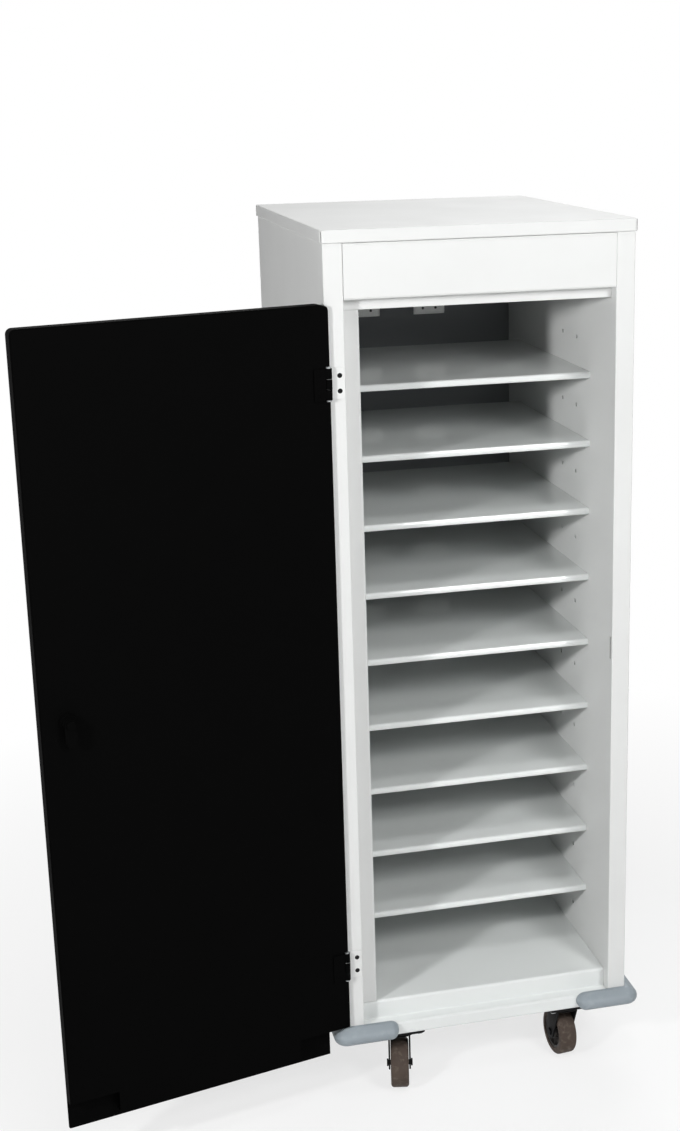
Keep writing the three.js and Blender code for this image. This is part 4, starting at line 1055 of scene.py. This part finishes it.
class CART_OT_mould_bumpers(bpy.types.Operator):
    """Mould the four corner bumpers"""

    bl_idname = "cart.mould_bumpers"
    bl_label = "Mould the Bumpers"

    def execute(self, context):
        sizes = context.scene.cart_fittings
        for corner in CORNERS:
            skirt = self.skirt(corner, sizes)
            piece = new_piece(f"skirt_{corner}", [skirt], "cabinet", "bumper_plastic", BUMPER_CRISP)
            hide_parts(f"bumper_{corner}")
        return {"FINISHED"}

    def section(self, sizes, height):
        """How far the section stands out and how high it is, as arrays from under the foot to the top.

        It is an arc at the foot, the line that touches both arcs, and an arc at the brow.
        """
        foot = BUMPER_FOOT_ARC
        brow = BUMPER_BROW_ARC
        low = np.array([sizes.bumper_flare - foot, foot])
        high = np.array([sizes.bumper_crest - brow, height - brow])
        line = high - low
        slope = np.arctan2(line[1], line[0]) - np.arccos((foot - brow) / np.linalg.norm(line))
        under = np.linspace(-QUARTER, slope, FOOT_STEPS)
        over = np.linspace(slope, QUARTER, BROW_STEPS)
        foot_out, foot_rise = low[0] + foot * np.cos(under), low[1] + foot * np.sin(under)
        brow_out, brow_rise = high[0] + brow * np.cos(over), high[1] + brow * np.sin(over)
        out = np.concatenate([[SEAT], foot_out, brow_out, [SEAT]])
        rise = np.concatenate([[0.0], foot_rise, brow_rise, [height]])
        return out, rise

    def skirt(self, corner, sizes):
        """The section carried round the corner.

        P(s, t) = b(s) + n(s) (seat + e(s) o(t)) + up (m + e(s) (z(t) - m)). b runs along one leg, stays at
        the corner while the outward direction n turns, and runs back along the other leg. e is a quarter
        circle at both ends, so the section (o, z) shrinks there towards its middle height m.
        """
        low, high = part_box(f"bumper_{corner}")
        near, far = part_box("left_side_panel")[0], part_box("right_side_panel")[1]
        left = corner.endswith("left")
        front = corner.startswith("front")
        place = np.array([near.x if left else far.x, near.y if front else far.y, 0.0])
        x_in = RIGHT if left else -RIGHT
        y_in = BACKWARD if front else FORWARD
        close = np.linspace(0.0, QUARTER, END_STEPS)
        straight = np.linspace(sizes.bumper_leg - sizes.bumper_end, 0.0, LEG_STEPS)[1:]
        along = np.concatenate([sizes.bumper_leg - sizes.bumper_end * (1 - np.cos(close)), straight])
        taper = np.concatenate([np.sin(close), np.ones(len(straight))])
        turn = np.linspace(0.0, QUARTER, CORNER_STEPS)[1:-1]
        corner_points = np.zeros((len(turn), 3))
        base = np.concatenate([along[:, None] * x_in, corner_points, along[::-1, None] * y_in])
        x_normal = np.tile(-x_in, (len(along), 1))
        y_normal = np.tile(-y_in, (len(along), 1))
        turning = -np.cos(turn)[:, None] * y_in - np.sin(turn)[:, None] * x_in
        normal = np.concatenate([y_normal, turning, x_normal])
        shrink = np.concatenate([taper, np.ones(len(turn)), taper[::-1]])[:, None]
        height = high.z - low.z
        out, rise = self.section(sizes, height)
        reach = SEAT + (out - SEAT)[None, :] * shrink
        level = low.z + height / 2 + (rise - height / 2)[None, :] * shrink
        points = place + base[:, None, :] + normal[:, None, :] * reach[:, :, None] + UP * level[:, :, None]
        return points[None]


class CART_OT_dress_lock(bpy.types.Operator):
    """Add a black plate that paints the shade of the key slot, and the face ring of the door lock"""

    bl_idname = "cart.dress_lock"
    bl_label = "Dress the Lock"

    def execute(self, context):
        turn = joint("lock_turn")
        outward = np.array(turn["axis"])
        centre = np.array(turn["pos_m"])
        lever = frame["nodes"]["lock_lever"]
        corners = np.array([vertex.co for vertex in lever.data.vertices])
        place = centre + outward * ((corners - centre) @ outward).max()
        collar = turned(in_metres(COLLAR_SECTION), COLLAR_SIDES, place, outward)
        new_piece("key_collar", [collar], "lock", "zinc_steel")
        # A thin black plate on the lock face: painted shade of the key slot, which is not cut.
        lower = [[-SLOT_HALF_WIDTH, -SLOT_HALF_HEIGHT], [SLOT_HALF_WIDTH, -SLOT_HALF_HEIGHT]]
        upper = [[SLOT_HALF_WIDTH, SLOT_HALF_HEIGHT], [-SLOT_HALF_WIDTH, SLOT_HALF_HEIGHT]]
        along = np.cross(UP, outward)
        face = place + outward * SLOT_LIFT
        key = rounded_plate(lower + upper, SLOT_THICKNESS, SLOT_EDGE, face, along, UP, outward)
        new_piece("key_slot_painted_shade", [key], "lock", "black_plastic")
        return {"FINISHED"}


class CART_OT_set_studio(bpy.types.Operator):
    """Set the floor, the white surroundings, the lights and the camera"""

    bl_idname = "cart.set_studio"
    bl_label = "Set the Studio"

    def execute(self, context):
        studio = context.scene.cart_studio
        context.scene.view_settings.view_transform = "Standard"
        self.lay_floor(context, studio)
        self.light_world(context, studio)
        self.hang_lights(context, studio)
        self.place_camera(context, studio)
        return {"FINISHED"}

    def seen_directly(self, tree):
        """One for rays from the camera, and for reflected and transmitted ones, which show plain white."""
        camera = add_node(tree, "LightPath", output="Is Camera Ray")
        path = camera.node.outputs
        mirrored = add_node(tree, "Math", {0: camera, 1: path["Is Glossy Ray"]}, operation="MAXIMUM")
        return add_node(tree, "Math", {0: mirrored, 1: path["Is Transmission Ray"]}, operation="MAXIMUM")

    def floor_material(self, studio):
        """A matt floor that takes the shadow near the cart, and shows as white further out."""
        material, tree, shader, place = new_material("studio_floor")
        shader.inputs["Base Color"].default_value = rgba(studio.floor)
        shader.inputs["Roughness"].default_value = FLOOR_ROUGHNESS
        distance = add_node(tree, "VectorMath", {0: place}, "Value", operation="LENGTH")
        fade = {"From Min": FADE_START, "From Max": FADE_END, "To Min": studio.floor_white, "To Max": 1.0}
        far = add_node(tree, "MapRange", {"Value": distance, **fade})
        share = add_node(tree, "Math", {0: self.seen_directly(tree), 1: far}, operation="MULTIPLY")
        white = add_node(tree, "Emission")
        mixed = add_node(tree, "MixShader", {0: share, 1: shader.outputs["BSDF"], 2: white})
        tree.links.new(mixed, tree.nodes["Material Output"].inputs["Surface"])
        return material

    def lay_floor(self, context, studio):
        """A flat disc, P(r, a) = r (cos a, sin a, 0)."""
        angle = angles(FLOOR_SIDES)
        ring = np.stack([np.cos(angle), np.sin(angle), np.zeros(FLOOR_SIDES)], axis=-1)
        points = FLOOR_RINGS[:, None, None] * ring[None]
        number = np.arange(points[..., 0].size).reshape(len(FLOOR_RINGS), FLOOR_SIDES)
        facing_up = grid_faces(number)[:, ::-1]
        mesh = bpy.data.meshes.new("floor")
        mesh.from_pydata(points.reshape(-1, 3), [], facing_up)
        mesh.validate()
        mesh.materials.append(self.floor_material(studio))
        floor = bpy.data.objects.new("floor", mesh)
        context.scene.collection.objects.link(floor)

    def light_world(self, context, studio):
        """Even light all round, which the camera, reflections and glass see as plain white."""
        world = bpy.data.worlds.new("studio")
        context.scene.world = world
        world.use_nodes = True
        tree = world.node_tree
        even = add_node(tree, "Background", {"Color": WHITE, "Strength": studio.ambient})
        plain = add_node(tree, "Background", {"Color": WHITE, "Strength": 1.0})
        mixed = add_node(tree, "MixShader", {0: self.seen_directly(tree), 1: even, 2: plain})
        tree.links.new(mixed, tree.nodes["World Output"].inputs["Surface"])

    def hang_lights(self, context, studio):
        """A small main light at the front left, a fill at the right, and soft lights above and behind.

        A low light far in front reaches the back of the bays.
        """
        lamps = {
            "main_light": (studio.key_place, studio.key_size, studio.key_power),
            "fill_light": (studio.fill_place, studio.fill_size, studio.fill_power),
            "top_light": (studio.top_place, studio.top_size, studio.top_power),
            "low_light": (studio.low_place, studio.low_size, studio.low_power),
            "back_light": (studio.back_place, studio.back_size, studio.back_power),
        }
        for name, (place, size, power) in lamps.items():
            lamp = bpy.data.lights.new(name, "AREA")
            lamp.shape = "DISK"
            lamp.size = size
            lamp.energy = power
            holder = bpy.data.objects.new(name, lamp)
            holder.location = place
            holder.rotation_mode = "QUATERNION"
            holder.rotation_quaternion = (AIM - Vector(place)).to_track_quat("-Z", "Y")
            context.scene.collection.objects.link(holder)

    def place_camera(self, context, studio):
        """The camera looks along +Y, then rolls about that line, pitches about X and yaws about Z."""
        lens = bpy.data.cameras.new("camera")
        lens.sensor_width = SENSOR_WIDTH
        lens.lens = studio.camera_lens
        lens.shift_x, lens.shift_y = studio.camera_shift
        lens.clip_start = CLIP_START
        lens.clip_end = CLIP_END
        ahead = Matrix.Rotation(QUARTER, 4, "X")
        turned_to = (
            Matrix.Rotation(studio.camera_yaw, 4, "Z")
            @ Matrix.Rotation(studio.camera_pitch, 4, "X")
            @ Matrix.Rotation(studio.camera_roll, 4, "Y")
        )
        camera = bpy.data.objects.new("camera", lens)
        context.scene.collection.objects.link(camera)
        camera.matrix_world = Matrix.Translation(studio.camera_place) @ turned_to @ ahead
        context.scene.camera = camera


STEPS = (
    CART_OT_coat_solids,
    CART_OT_fit_screws,
    CART_OT_shape_outlets,
    CART_OT_make_casters,
    CART_OT_mould_bumpers,
    CART_OT_dress_lock,
    CART_OT_set_studio,
)


class CART_PT_steps(bpy.types.Panel):
    """The steps that dress the cart, in order, with their settings"""

    bl_idname = "CART_PT_steps"
    bl_label = "Laptop Charging Cart"
    bl_space_type = "VIEW_3D"
    bl_region_type = "UI"
    bl_category = "Cart"

    def draw(self, context):
        for step in STEPS:
            self.layout.operator(step.bl_idname)
        for group in GROUPS:
            settings = getattr(context.scene, group)
            box = self.layout.box()
            for name in settings.bl_rna.properties.keys():
                if name not in ("rna_type", "name"):
                    box.prop(settings, name)


GROUPS = {"cart_finishes": CartFinishes, "cart_fittings": CartFittings, "cart_studio": CartStudio}


def register():
    """Registers the settings, the steps and the panel."""
    for name, group in GROUPS.items():
        bpy.utils.register_class(group)
        setattr(bpy.types.Scene, name, bpy.props.PointerProperty(type=group))
    for step in STEPS:
        bpy.utils.register_class(step)
    bpy.utils.register_class(CART_PT_steps)


def unregister():
    """Takes everything that register added away again."""
    bpy.utils.unregister_class(CART_PT_steps)
    for step in reversed(STEPS):
        bpy.utils.unregister_class(step)
    for name, group in reversed(GROUPS.items()):
        delattr(bpy.types.Scene, name)
        bpy.utils.unregister_class(group)


def main():
    """Dresses the cart step by step."""
    register()
    bpy.ops.cart.coat_solids()
    bpy.ops.cart.fit_screws()
    bpy.ops.cart.shape_outlets()
    bpy.ops.cart.make_casters()
    bpy.ops.cart.mould_bumpers()
    bpy.ops.cart.dress_lock()
    bpy.ops.cart.set_studio()


if __name__ == "__main__":
    main()
